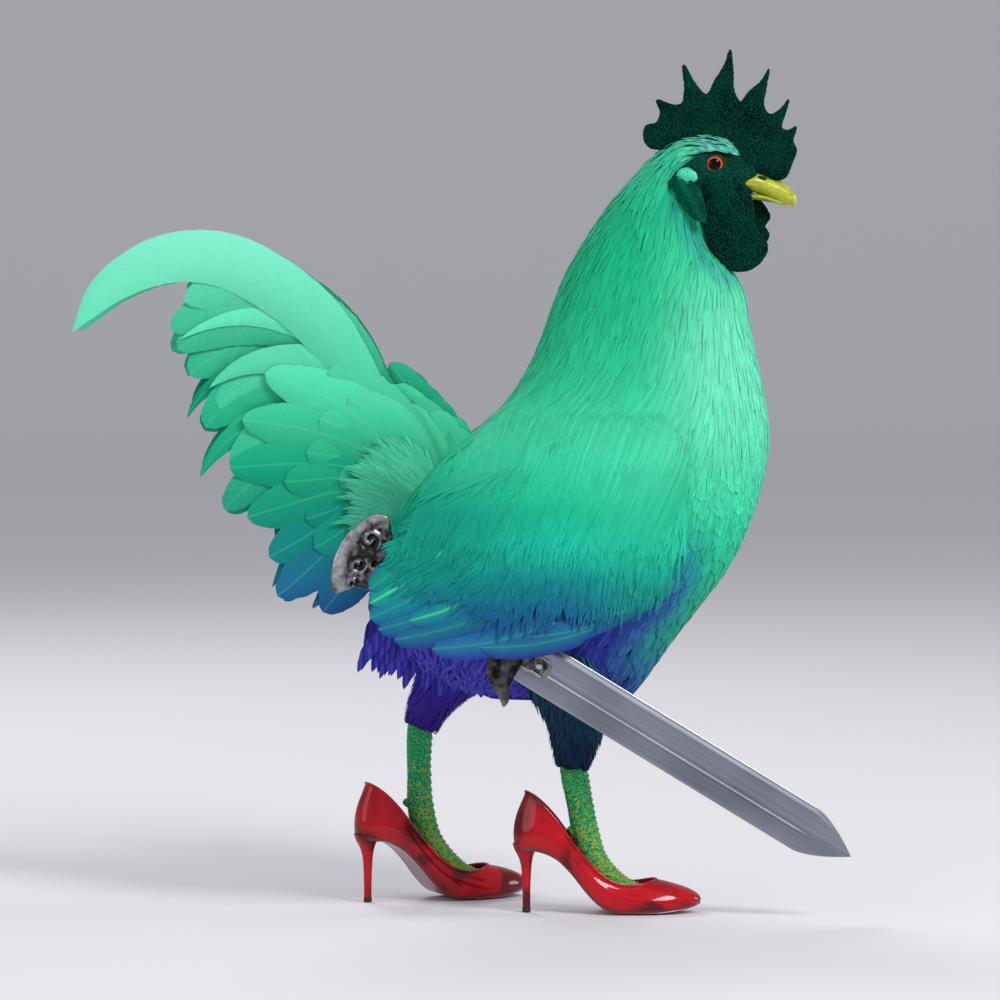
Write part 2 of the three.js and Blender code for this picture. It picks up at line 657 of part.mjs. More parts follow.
function buildFoot(side) {
  const { foot, thigh, shank } = LEGS[side];
  const axleBore = rod("y", -90, 90, HIP.x, HIP.z, HIP.axle + RUN);
  const shankRoom = sweep(shank, { grow: GAP });
  add("thigh_" + side, "fluff", cut(sweep(thigh), shankRoom, axleBore));
  add("shank_" + side, "leg", sweep(shank));

  const place = new THREE.Group();
  place.position.set(foot.x, foot.y, 0);
  place.rotation.z = foot.yaw;
  place.updateMatrixWorld(true);
  rooster.add(place);
  const roomInFoot = toSolid(toGeometry(shankRoom).applyMatrix4(place.matrixWorld.clone().invert()));
  add("foot_" + side, "leg", cut(slices(FOOT, 12), roomInFoot), place);

  const upperInside = UPPER.slice(1, -1).map(([x, low, high, half], i) => [
    x + (i === 0 ? UPPER_WALL : 0),
    low + UPPER_WALL,
    high + (i + 1 <= LAST_OPEN_ROW ? 8 : -UPPER_WALL),
    half - UPPER_WALL,
  ]);
  add("shoe_upper_" + side, "patent", cut(slices(UPPER), slices(upperInside)), place);

  const sole = UPPER.slice(2).map(([x, low, , half], i, rows) => {
    const last = i === rows.length - 1;
    return [x + (last ? -1.5 : 0), low - GAP - SOLE_THICK, low - GAP, half * (last ? 0.9 : 0.84)];
  });
  add("shoe_sole_" + side, "patent", cut(slices(sole, 12), slices(UPPER)), place);
  buildHeel(side, sole, place);
}

function buildHeel(side, sole, place) {
  const oval = ([z, x, long, wide]) =>
    Array.from({ length: 14 }, (_, i) => {
      const turn = (2 * Math.PI * i) / 14;
      return new THREE.Vector3(x + long * Math.cos(turn), wide * Math.sin(turn), z);
    });
  const heelRows = [
    [HEEL.tipHeight + GAP, HEEL.x, HEEL.tip + 0.4, HEEL.tip],
    [20, HEEL.x - 1, 4.2, 3.8],
    [32, HEEL.x - 0.5, 6.5, 6],
    [40, HEEL.x + 1.5, 9.5, 10],
    [52, HEEL.x + 3, 12, 12.5],
  ];
  const soleGrown = sole.map(([x, low, high, half]) => [x, low - 2 * GAP, high + 12, half + 12]);
  soleGrown.unshift([-70, ...soleGrown[0].slice(1)]);
  const heel = cut(loft(heelRows.map(oval)), slices(soleGrown, 12));
  add("shoe_heel_" + side, "patent", heel, place);
  const tip = [0, HEEL.tipHeight].map((z) => oval([z, HEEL.x, HEEL.tip + 0.4, HEEL.tip]));
  add("heel_tip_" + side, "plastic", loft(tip), place);
}

// ---------------------------------------------------------------- sword
// In its own frame the blade runs along +X from the cross-guard, and Z is the width of the blade.
const GUARD_HALF_OUTLINE = [
  [10.5, 0],
  [10.5, 8],
  [13, 24.6],
  [17.2, 36.8],
  [6.5, 32.7],
  [-5.3, 25.6],
  [-11, 14],
  [-13, 0],
];
const POMMEL_HALF_OUTLINE = [
  [-101.3, 0],
  [-102.5, 14],
  [-112, 19],
  [-115.5, 27],
  [-121, 33],
  [-129, 31],
  [-136, 18.5],
  [-139, 0],
];
const bothHalves = (half) => [...half, ...half.slice(1, -1).map(([x, z]) => [x, -z]).reverse()];

function buildSword() {
  const sword = new THREE.Group();
  sword.position.set(SWORD.x, SWORD.y, SWORD.z);
  sword.rotation.y = SWORD.slope;
  rooster.add(sword);

  const section = (x, half) => {
    const k = half / BLADE.half;
    const quarter = [
      [half, BLADE.edge],
      [BLADE.flat * k, BLADE.thick],
      [BLADE.fuller * k, BLADE.thick],
      [0, BLADE.thick - BLADE.groove * k],
    ];
    const side = [...quarter, ...quarter.slice(0, -1).map(([z, y]) => [-z, y]).reverse()];
    return [...side, ...side.map(([z, y]) => [z, -y]).reverse()].map(([z, y]) => new THREE.Vector3(x, y, z));
  };
  const tipSteps = 5;
  const rings = [section(BLADE.from, BLADE.half), section(BLADE.taper, BLADE.half)];
  for (let i = 1; i <= tipSteps; i++) {
    const share = i / tipSteps;
    rings.push(section(THREE.MathUtils.lerp(BLADE.taper, BLADE.to, share), BLADE.half * (1.02 - share ** 1.5)));
  }
  const tang = box(TANG.end, BLADE.from + 2, -TANG.thick / 2, TANG.thick / 2, -TANG.half, TANG.half);
  add("sword_blade", "blade", join(loft(rings), tang), sword);

  const tangRoom = box(
    TANG.end - GAP, BLADE.from + 2, -TANG.thick / 2 - GAP, TANG.thick / 2 + GAP, -TANG.half - GAP, TANG.half + GAP,
  );
  const guard = plate(bothHalves(GUARD_HALF_OUTLINE), -GUARD_HALF, GUARD_HALF, 1.5);
  add("sword_guard", "hilt", cut(guard, tangRoom), sword);
  const pommel = plate(bothHalves(POMMEL_HALF_OUTLINE), -POMMEL_HALF, POMMEL_HALF, 1.5);
  add("sword_pommel", "hilt", cut(pommel, tangRoom), sword);
  const gripRings = Array.from({ length: 2 * GRIP.ridges + 1 }, (_, i) => {
    const x = THREE.MathUtils.lerp(GRIP.to, GRIP.from, i / (2 * GRIP.ridges));
    const dip = i % 2 ? 0 : GRIP.ridge;
    return Array.from({ length: 14 }, (_, k) => {
      const turn = (2 * Math.PI * k) / 14;
      return new THREE.Vector3(x, (GRIP.wide - dip) * Math.cos(turn), (GRIP.deep - dip) * Math.sin(turn));
    });
  });
  add("sword_grip", "hilt", cut(loft(gripRings), tangRoom), sword);
}

buildShells();
buildArmature();
buildSqueaker();
buildCape();
buildHead();
buildBeak();
buildWings();
buildTail();
buildFoot("right");
buildFoot("left");
buildSword();

export default rooster;
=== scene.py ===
"""A feathered rooster prop in red patent pumps, with a short sword under its right wing.

Sizes in this script are in millimetres until mesh_object() and place() turn them into metres.
+X is towards the beak, +Y is the bird's left, +Z is up and the floor is z = 0.
"""

import math

import bpy
import numpy as np
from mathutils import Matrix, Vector, noise


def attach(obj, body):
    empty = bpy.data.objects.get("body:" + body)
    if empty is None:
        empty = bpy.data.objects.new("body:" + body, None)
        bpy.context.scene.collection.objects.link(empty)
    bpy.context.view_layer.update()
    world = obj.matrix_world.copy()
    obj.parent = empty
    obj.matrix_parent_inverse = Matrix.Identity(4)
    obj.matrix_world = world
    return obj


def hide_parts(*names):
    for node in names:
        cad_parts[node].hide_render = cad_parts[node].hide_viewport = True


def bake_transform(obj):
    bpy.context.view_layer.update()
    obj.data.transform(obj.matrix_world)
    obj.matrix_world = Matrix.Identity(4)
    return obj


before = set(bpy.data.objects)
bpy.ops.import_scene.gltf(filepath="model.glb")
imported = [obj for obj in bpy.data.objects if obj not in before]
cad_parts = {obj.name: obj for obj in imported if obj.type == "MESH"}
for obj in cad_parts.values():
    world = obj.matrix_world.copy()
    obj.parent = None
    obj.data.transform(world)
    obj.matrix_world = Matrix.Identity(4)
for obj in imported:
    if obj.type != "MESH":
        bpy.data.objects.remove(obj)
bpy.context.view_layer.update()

MM = 0.001
SIDES = ((-1, "right"), (1, "left"))
rng = np.random.default_rng(11)
scene = bpy.context.scene

# ------------------------------------------------------------------ stage, light and camera
FLOOR_DROP = 0.0004
SWEEP_FROM, SWEEP = 6.5, 2.5
VIEW_CENTRE = (0.0285, 0.0, 0.285)
VIEW_WIDTH = 0.700
VIEW_DISTANCE = 4.2
VIEW_ELEVATION = math.radians(3.0)


def look_at(obj, place, target):
    obj.location = place
    obj.rotation_euler = (Vector(target) - Vector(place)).to_track_quat("-Z", "Y").to_euler()


def build_stage():
    """A floor that sweeps up into a backdrop, so that no horizon shows."""
    profile = [(-16.0, 0.0), (SWEEP_FROM, 0.0)]
    bend = np.linspace(0, math.pi / 2, 24)[1:]
    profile += [(SWEEP_FROM + SWEEP * math.sin(t), SWEEP - SWEEP * math.cos(t)) for t in bend]
    profile += [(SWEEP_FROM + SWEEP, 10.0)]
    points = [(x, y, z - FLOOR_DROP) for y, z in profile for x in (-20.0, 20.0)]
    faces = [(2 * i, 2 * i + 1, 2 * i + 3, 2 * i + 2) for i in range(len(profile) - 1)]
    data = bpy.data.meshes.new("floor")
    data.from_pydata(points, [], faces)
    data.polygons.foreach_set("use_smooth", [True] * len(faces))
    floor = bpy.data.objects.new("floor", data)
    scene.collection.objects.link(floor)
    mat = bpy.data.materials.new("floor_paint")
    mat.use_nodes = True
    shader = mat.node_tree.nodes["Principled BSDF"]
    shader.inputs["Base Color"].default_value = (0.74, 0.73, 0.76, 1)
    shader.inputs["Roughness"].default_value = 0.8
    floor.data.materials.append(mat)

    world = scene.world or bpy.data.worlds.new("studio")
    scene.world = world
    world.use_nodes = True
    background = world.node_tree.nodes["Background"]
    background.inputs["Color"].default_value = (0.86, 0.87, 0.92, 1)
    background.inputs["Strength"].default_value = 0.55

    lights = [
        ("key", (1.7, -1.9, 2.3), 1.1, 62, (1.0, 0.99, 0.96)),
        ("fill", (-2.2, -2.4, 1.3), 2.0, 16, (0.94, 0.96, 1.0)),
        ("rim", (-0.9, 1.9, 2.0), 1.2, 24, (1.0, 1.0, 1.0)),
        ("front", (2.3, 0.3, 0.9), 0.8, 12, (1.0, 1.0, 1.0)),
    ]
    for name, place, size, power, colour in lights:
        data = bpy.data.lights.new(name, "AREA")
        data.shape = "DISK"
        data.size = size
        data.energy = power
        data.color = colour
        lamp = bpy.data.objects.new(name, data)
        scene.collection.objects.link(lamp)
        look_at(lamp, place, (0.02, 0, 0.3))


def build_camera():
    data = bpy.data.cameras.new("camera")
    data.sensor_width = 36
    data.lens = data.sensor_width * VIEW_DISTANCE / VIEW_WIDTH
    data.clip_end = 50
    camera = bpy.data.objects.new("camera", data)
    scene.collection.objects.link(camera)
    x, y, z = VIEW_CENTRE
    back = y - VIEW_DISTANCE * math.cos(VIEW_ELEVATION)
    look_at(camera, (x, back, z + VIEW_DISTANCE * math.sin(VIEW_ELEVATION)), VIEW_CENTRE)
    scene.camera = camera


scene.view_settings.view_transform = "Standard"
build_camera()
build_stage()


# ------------------------------------------------------------------ small maths
def unit(v):
    return v / np.maximum(np.linalg.norm(v, axis=-1, keepdims=True), 1e-9)


def square_to(direction, along):
    """The part of a direction that is at right angles to another one."""
    return unit(direction - along * np.sum(direction * along, -1, keepdims=True))


def smoothstep(x, low, high):
    """0 at low and 1 at high, which may be the smaller of the two."""
    t = np.clip((np.asarray(x, float) - low) / (high - low), 0, 1)
    return t * t * (3 - 2 * t)


def mix(a, b, t):
    return a + (b - a) * t


def srgb(r, g, b):
    """A linear colour from the 0 to 255 values that a screen shows."""
    c = np.array([r, g, b], float) / 255
    return np.where(c <= 0.04045, c / 12.92, ((c + 0.055) / 1.055) ** 2.4)


def hermite(x, knots, values):
    """A smooth line through the knots. values may have several columns."""
    knots, values = np.asarray(knots, float), np.asarray(values, float)
    x = np.clip(np.asarray(x, float), knots[0], knots[-1])
    slope = np.gradient(values, knots, axis=0)
    i = np.clip(np.searchsorted(knots, x, side="right") - 1, 0, len(knots) - 2)
    h = knots[i + 1] - knots[i]
    t = (x - knots[i]) / h
    if values.ndim > 1:
        h, t = h[..., None], t[..., None]
    return (
        (2 * t**3 - 3 * t**2 + 1) * values[i]
        + (t**3 - 2 * t**2 + t) * h * slope[i]
        + (3 * t**2 - 2 * t**3) * values[i + 1]
        + (t**3 - t**2) * h * slope[i + 1]
    )


def fbm(points, size, octaves=3):
    """Fractal noise at each point, about -1 to 1."""
    return np.array([noise.fractal(Vector(p / size), 1.0, 2.0, octaves) for p in np.asarray(points, float)])


def pebbles(points, size):
    """Rounded bumps, 0 in the creases and 1 on the tops."""
    return np.array([
        min(1.0, noise.voronoi(Vector(p / size))[0][0] * 1.7) for p in np.asarray(points, float)
    ])


# ------------------------------------------------------------------ meshes
def mesh_object(name, points, faces, body=None, mat=None, **attributes):
    """Makes an object from points in millimetres. attributes are colours, one for each point."""
    data = bpy.data.meshes.new(name)
    data.from_pydata((np.asarray(points, float) * MM).tolist(), [], [list(map(int, f)) for f in faces])
    for key, value in attributes.items():
        rgba = np.ones((len(value), 4), np.float32)
        rgba[:, :3] = value
        data.attributes.new(key, "FLOAT_COLOR", "POINT").data.foreach_set("color", rgba.ravel())
    data.polygons.foreach_set("use_smooth", [True] * len(data.polygons))
    data.update()
    obj = bpy.data.objects.new(name, data)
    scene.collection.objects.link(obj)
    if mat:
        data.materials.append(mat)
    if body:
        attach(obj, body)
    return obj


def grid_faces(rows, columns, closed=False):
    """Quads over a grid of points, rows by columns. closed joins the last column to the first."""
    i, j = np.meshgrid(np.arange(rows - 1), np.arange(columns if closed else columns - 1), indexing="ij")
    k = (j + 1) % columns
    quads = np.stack([i * columns + j, i * columns + k, (i + 1) * columns + k, (i + 1) * columns + j], -1)
    return quads.reshape(-1, 4)


def grid_points(x, y, z):
    """Points in rows from coordinates that broadcast to one grid."""
    return np.stack(np.broadcast_arrays(x, y, z), -1).reshape(-1, 3)


def capped_tube(rows, sides):
    """The faces of a closed grid with a fan over each end."""
    faces = [list(q) for q in grid_faces(rows, sides, closed=True)]
    return faces + [list(range(sides))[::-1], list(range((rows - 1) * sides, rows * sides))]


def rim(rows, columns):
    """The points around the edge of a grid, in order."""
    return [i * columns for i in range(rows)] + [(rows - 1) * columns + j for j in range(1, columns)] \
        + [i * columns + columns - 1 for i in range(rows - 2, -1, -1)] + list(range(columns - 2, 0, -1))


def plate_faces(rows, columns, flip):
    """The faces of two grids back to back, joined along their edges. flip turns the first grid over."""
    quads, n = grid_faces(rows, columns), rows * columns
    loop = rim(rows, columns)
    faces = [list(q[::-1] if flip else q) for q in quads] + [list((q if flip else q[::-1]) + n) for q in quads]
    return faces + [[a, b, b + n, a + n] for a, b in zip(loop, loop[1:] + loop[:1])]


def coords(obj):
    flat = np.zeros(len(obj.data.vertices) * 3)
    obj.data.vertices.foreach_get("co", flat)
    return flat.reshape(-1, 3) / MM


def set_coords(obj, points):
    obj.data.vertices.foreach_set("co", (np.asarray(points) * MM).ravel())
    obj.data.update()


def set_number(obj, name, values):
    obj.data.attributes.new(name, "FLOAT", "POINT").data.foreach_set("value", np.asarray(values, np.float32))


def set_vectors(obj, name, values):
    made = obj.data.attributes.new(name, "FLOAT_VECTOR", "POINT")
    made.data.foreach_set("vector", np.asarray(values, np.float32).ravel())


def normals(obj):
    flat = np.zeros(len(obj.data.vertices) * 3)
    obj.data.vertex_normals.foreach_get("vector", flat)
    return flat.reshape(-1, 3)


def applied(obj, *modifiers):
    """Adds modifiers, each (type, {settings}), and makes their result the object's mesh."""
    for kind, settings in modifiers:
        modifier = obj.modifiers.new(kind.lower(), kind)
        for key, value in settings.items():
            setattr(modifier, key, value)
    graph = bpy.context.evaluated_depsgraph_get()
    made = bpy.data.meshes.new_from_object(obj.evaluated_get(graph))
    old = obj.data
    obj.modifiers.clear()
    obj.data = made
    made.name = obj.name
    bpy.data.meshes.remove(old)
    made.polygons.foreach_set("use_smooth", [True] * len(made.polygons))
    return obj


def fused(name, parts, voxel, mat, smoothing):
    """One skin over several overlapping closed shapes, each (points, faces)."""
    points, faces, start = [], [], 0
    for p, f in parts:
        points.append(np.asarray(p, float))
        faces += [[int(v) + start for v in face] for face in f]
        start += len(p)
    obj = mesh_object(name, np.concatenate(points), faces, None, mat)
    applied(
        obj,
        ("REMESH", {"mode": "VOXEL", "voxel_size": voxel * MM}),
        ("SMOOTH", {"factor": 0.5, "iterations": smoothing}),
    )
    return obj


def ellipsoid(centre, radii, tilt=0.0, rings=16, sides=24):
    """A closed ball shape. tilt turns it in the XZ plane."""
    theta = np.linspace(0, math.pi, rings)
    phi = np.linspace(0, 2 * math.pi, sides, endpoint=False)
    t, p = np.meshgrid(theta[1:-1], phi, indexing="ij")
    ball = np.stack([np.sin(t) * np.cos(p), np.sin(t) * np.sin(p), np.cos(t)], -1).reshape(-1, 3)
    ball = np.concatenate([ball, [[0, 0, 1], [0, 0, -1]]]) * radii
    c, s = math.cos(tilt), math.sin(tilt)
    turned = np.stack([ball[:, 0] * c + ball[:, 2] * s, ball[:, 1], -ball[:, 0] * s + ball[:, 2] * c], -1)
    faces = [list(q) for q in grid_faces(rings - 2, sides, closed=True)]
    top = (rings - 2) * sides
    for j in range(sides):
        k = (j + 1) % sides
        faces += [[top, k, j], [top + 1, top - sides + j, top - sides + k]]
    return turned + np.asarray(centre, float), faces


def slab(outline, y0, y1):
    """A closed plate over an outline of x, z points."""
    n = len(outline)
    a = np.array([[x, y0, z] for x, z in outline])
    b = np.array([[x, y1, z] for x, z in outline])
    faces = [list(range(n)), list(range(2 * n - 1, n - 1, -1))]
    faces += [[(i + 1) % n, i, n + i, n + (i + 1) % n] for i in range(n)]
    return np.concatenate([a, b]), faces


def rounded(outline, count=90):
    """A smooth closed line through the outline's points."""
    p = np.array(outline, float)
    ring = np.concatenate([p[-2:], p, p[:3]])
    length = np.concatenate([[0], np.cumsum(np.linalg.norm(np.diff(ring, axis=0), axis=1))])
    at = np.linspace(length[2], length[2 + len(p)], count, endpoint=False)
    return hermite(at, length, ring)


def tube_mesh(centres, radius, sides=10, closed=False):
    """A thin tube along points, with fans over its ends unless it closes on itself."""
    c = np.asarray(centres, float)
    along = unit(np.roll(c, -1, 0) - np.roll(c, 1, 0)) if closed else unit(np.gradient(c, axis=0))
    helper = np.where(np.abs(along[:, 1:2]) < 0.9, [[0.0, 1.0, 0.0]], [[1.0, 0.0, 0.0]])
    u = unit(np.cross(along, helper))
    v = np.cross(along, u)
    r = np.broadcast_to(np.asarray(radius, float), (len(c),))[:, None, None]
    turn = np.linspace(0, 2 * math.pi, sides, endpoint=False)
    cos, sin = np.cos(turn)[None, :, None], np.sin(turn)[None, :, None]
    ring = c[:, None] + r * (u[:, None] * cos + v[:, None] * sin)
    if not closed:
        return ring.reshape(-1, 3), capped_tube(len(c), sides)
    ring = np.concatenate([ring, ring[:1]])
    return ring.reshape(-1, 3), [list(q) for q in grid_faces(len(c) + 1, sides, closed=True)]


# ------------------------------------------------------------------ node materials
class Shader:
    """A material with short calls for the nodes that this scene needs."""

    def __init__(self, name, **sockets):
        self.mat = bpy.data.materials.new(name)
        self.mat.use_nodes = True
        self.tree = self.mat.node_tree
        self.bsdf = self.tree.nodes["Principled BSDF"]
        for key, value in sockets.items():
            self.bsdf.inputs[key.replace("_", " ").title().replace("Ior", "IOR")].default_value = value

    def node(self, kind, **settings):
        made = self.tree.nodes.new("ShaderNode" + kind)
        for key, value in settings.items():
            setattr(made, key, value)
        return made

    def link(self, a, b):
        self.tree.links.new(a, b)

    def feed(self, socket, value):
        if isinstance(value, bpy.types.NodeSocket):
            self.link(value, socket)
        elif isinstance(value, (tuple, list, np.ndarray)):
            value = list(value)
            socket.default_value = value + [1.0] if len(value) == 3 and socket.type == "RGBA" else value
        else:
            socket.default_value = value

    def math(self, operation, a, b=0.0, c=0.0):
        made = self.node("Math", operation=operation)
        for socket, value in zip(made.inputs, (a, b, c)):
            self.feed(socket, value)
        return made.outputs[0]

    def blend(self, share, a, b, mode="MIX"):
        made = self.node("Mix", data_type="RGBA", blend_type=mode)
        self.feed(made.inputs["Factor"], share)
        self.feed(made.inputs[6], a)
        self.feed(made.inputs[7], b)
        return made.outputs[2]

    def attribute(self, name):
        return self.node("Attribute", attribute_name=name)

    def place(self, scale=(1, 1, 1), own=None):
        where = self.attribute(own).outputs["Vector"] if own else self.node("TexCoord").outputs["Object"]
        mapping = self.node("Mapping")
        self.link(where, mapping.inputs["Vector"])
        mapping.inputs["Scale"].default_value = scale
        return mapping.outputs["Vector"]

    def noise(self, scale, detail=3.0, vector=None, distortion=0.0):
        made = self.node("TexNoise")
        made.inputs["Scale"].default_value = scale
        made.inputs["Detail"].default_value = detail
        made.inputs["Distortion"].default_value = distortion
        self.link(vector or self.place(), made.inputs["Vector"])
        return made.outputs["Fac"]

    def cells(self, scale, feature="F1", vector=None):
        made = self.node("TexVoronoi", feature=feature)
        made.inputs["Scale"].default_value = scale
        self.link(vector or self.place(), made.inputs["Vector"])
        return made.outputs["Distance"]

    def ramp(self, value, *stops):
        made = self.node("ValToRGB")
        bar = made.color_ramp.elements
        while len(bar) < len(stops):
            bar.new(0.5)
        for element, (at, colour) in zip(bar, stops):
            element.position = at
            colour = [colour] * 3 if np.isscalar(colour) else list(colour)
            element.color = [*colour, 1]
        self.link(value, made.inputs["Fac"])
        return made.outputs["Color"]

    def colour(self, value):
        self.feed(self.bsdf.inputs["Base Color"], value)

    def roughness(self, value):
        self.feed(self.bsdf.inputs["Roughness"], value)

    def soft_normal(self, name):
        """Shades with the direction kept in an attribute, turned to the side that is seen."""
        turned = self.node("VectorTransform", vector_type="NORMAL", convert_from="OBJECT", convert_to="WORLD")
        self.link(self.attribute(name).outputs["Vector"], turned.inputs[0])
        agree = self.node("VectorMath", operation="DOT_PRODUCT")
        self.link(turned.outputs[0], agree.inputs[0])
        self.link(self.node("NewGeometry").outputs["Normal"], agree.inputs[1])
        facing = self.node("VectorMath", operation="SCALE")
        self.link(turned.outputs[0], facing.inputs[0])
        self.link(self.math("SIGN", agree.outputs["Value"]), facing.inputs["Scale"])
        self.link(facing.outputs[0], self.bsdf.inputs["Normal"])

    def bump(self, height, strength, distance):
        made = self.node("Bump")
        made.inputs["Strength"].default_value = strength
        made.inputs["Distance"].default_value = distance * MM
        self.link(height, made.inputs["Height"])
        before = self.bsdf.inputs["Normal"].links
        if before:
            self.link(before[0].from_socket, made.inputs["Normal"])
        self.link(made.outputs["Normal"], self.bsdf.inputs["Normal"])


def plumage_material(name, strand=False, quill=0.0, depth=0.5):
    """Feather vanes: the tint of each point, streaked along the barbs, and a paler quill.
    strand is for slender feathers, whose streaks run along their length."""
    s = Shader(name, roughness=0.6, specular_ior_level=0.07)
    s.soft_normal("soft")
    split = s.node("SeparateXYZ")
    s.link(s.attribute("vane").outputs["Vector"], split.inputs[0])
    along, across, seed = split.outputs
    side = s.math("ABSOLUTE", across)
    streak = s.node("CombineXYZ")
    if strand:
        s.feed(streak.inputs[0], s.math("MULTIPLY", across, 1.1))
        s.feed(streak.inputs[1], s.math("MULTIPLY", along, 0.05))
    else:
        s.feed(streak.inputs[0], s.math("SUBTRACT", along, s.math("MULTIPLY", side, 1.25)))
        s.feed(streak.inputs[1], s.math("MULTIPLY", side, 0.12))
    s.feed(streak.inputs[2], s.math("MULTIPLY", seed, 91.0))
    clumps = s.noise(0.55, 3, streak.outputs[0])
    shade = s.math("MULTIPLY_ADD", clumps, depth, 1.0 - depth * 0.5)
    shade = s.math("MULTIPLY", shade, s.math("MULTIPLY_ADD", seed, 0.10, 0.95))
    tinted = s.node("VectorMath", operation="SCALE")
    s.link(s.attribute("tint").outputs["Color"], tinted.inputs[0])
    s.link(shade, tinted.inputs["Scale"])
    shaft = s.math("SUBTRACT", 1.0, s.math("MINIMUM", s.math("MULTIPLY", side, 1.1), 1.0))
    s.colour(s.blend(s.math("MULTIPLY", shaft, quill), tinted.outputs[0], srgb(120, 232, 184)))
    s.roughness(s.math("MULTIPLY_ADD", clumps, 0.3, 0.45))
    s.bump(clumps, 0.3, 0.4)
    return s.mat


def under_material():
    """The down beneath the feathers. Where it is made, its tint is set darker than the feathers over it, as
    painted shade in the gaps between them.
    """
    s = Shader("down_base", roughness=0.9, specular_ior_level=0.05)
    s.colour(s.attribute("tint").outputs["Color"])
    s.bump(s.noise(300, 3), 0.4, 0.6)
    return s.mat


FEATHER = plumage_material("feather_barbs", quill=0.14, depth=0.34)
FINE = plumage_material("hackle_barbs", strand=True, depth=0.36)
SMOOTH = plumage_material("sickle_barbs", quill=0.2, depth=0.14)
QUILLED = plumage_material("quilled_feather", quill=0.12, depth=0.34)
UNDER = under_material()


# ------------------------------------------------------------------ plumage colour
def ladder(*steps):
    """Heights and the colours seen there, as arrays for hermite()."""
    return np.array([z for z, _ in steps], float), np.array([srgb(*c) for _, c in steps])


# These colours by height are the plumage's own mint, teal and violet with painted light in them: painted shade
# darkens them towards the bottom, and BREAST is paler as painted light on the breast's front.
FLANK = ladder(
    (145, (44, 36, 140)), (185, (54, 44, 164)), (205, (44, 66, 160)), (225, (30, 108, 146)),
    (248, (24, 146, 136)), (272, (34, 178, 144)), (300, (50, 192, 150)), (330, (62, 200, 156)),
    (380, (44, 188, 138)), (430, (31, 180, 128)),
    (480, (30, 174, 126)), (520, (56, 192, 150)), (545, (84, 212, 176)),
)
BREAST = ladder(
    (145, (40, 58, 150)), (165, (28, 104, 140)), (188, (24, 136, 126)), (212, (24, 152, 122)),
    (245, (32, 178, 134)), (285, (60, 200, 156)), (325, (86, 204, 164)), (380, (100, 210, 172)),
    (415, (92, 204, 164)), (440, (72, 196, 152)), (480, (40, 176, 132)),
)
WING = ladder(
    (178, (44, 54, 148)), (196, (32, 78, 140)), (212, (24, 98, 136)), (232, (20, 128, 136)),
    (255, (28, 182, 156)), (280, (26, 178, 138)), (305, (38, 186, 142)), (340, (60, 200, 156)),
)
PLUME = ladder(
    (196, (46, 66, 160)), (212, (30, 104, 146)), (235, (18, 128, 130)), (285, (16, 148, 116)),
    (320, (28, 172, 126)), (365, (64, 200, 153)), (410, (92, 211, 170)), (470, (122, 221, 188)),
)


def toned(tone):
    """A tint for the tail. tone is from -1, in the blue shade between the other feathers, to 1, pale."""
    def tint(p):
        base = hermite(p[:, 2], *PLUME)
        if tone < 0:
            return mix(base, hermite(p[:, 2] - 70, *PLUME) * 0.85, -tone)
        return mix(base, srgb(118, 226, 188), tone * 0.5)
    return tint


CREASE = np.array([(62, 184), (92, 187), (118, 197), (142, 214), (158, 238), (166, 258)], float)


def distance_to(line, x, z):
    """How far points are from a line of x, z points."""
    point = np.stack([x, z], -1)
    best = np.full(len(x), 1e9)
    for a, b in zip(line[:-1], line[1:]):
        t = np.clip(((point - a) @ (b - a)) / ((b - a) @ (b - a)), 0, 1)[:, None]
        best = np.minimum(best, np.linalg.norm(point - (a + (b - a) * t), axis=1))
    return best


def body_tint(p):
    """The colour of the trunk's plumage: mint above, teal and violet below and darker there as painted shade,
    greener and paler down the breast, partly as painted light, and violet painted shade in the crease under
    the wing's front edge."""
    start = 118 - 38 * smoothstep(p[:, 2], 240, 185)
    breast = smoothstep(p[:, 0] - start, 0, 66)[:, None]
    base = mix(hermite(p[:, 2], *FLANK), hermite(p[:, 2], *BREAST), breast)
    # Violet painted shade in the crease under the wing's front edge, fading out further up.
    crease_shade = 0.72 * np.exp(-(distance_to(CREASE, p[:, 0], p[:, 2]) / 11) ** 2)
    crease_shade = crease_shade * (1 - 0.7 * smoothstep(p[:, 2], 215, 255))
    return mix(base, srgb(46, 48, 158), crease_shade[:, None])


# ------------------------------------------------------------------ feather batches
def hackle_shape(t):
    return np.minimum(1, (t / 0.15 + 0.15)) * np.clip(1 - t, 0, 1) ** 0.5 * 1.12


def round_end(t, start, power):
    """1 up to start, then rounding off to 0 at the tip."""
    return np.sqrt(np.clip(1 - np.clip((t - start) / (1 - start), 0, 1) ** power, 0, 1))


def contour_shape(t):
    return np.minimum(1, t / 0.25 + 0.3) * round_end(t, 0.45, 2.4)


def pointed_shape(t):
    return np.minimum(1, (t / 0.3 + 0.25)) * np.clip((1 - t) / 0.45, 0, 1) ** 0.75


def flight_shape(t):
    return np.minimum(1, (t / 0.16 + 0.22)) * round_end(t, 0.68, 2.2)


CAMBER_POWER = 1.6
SOFT_SPREAD = 0.38
TINT_JITTER = 0.05


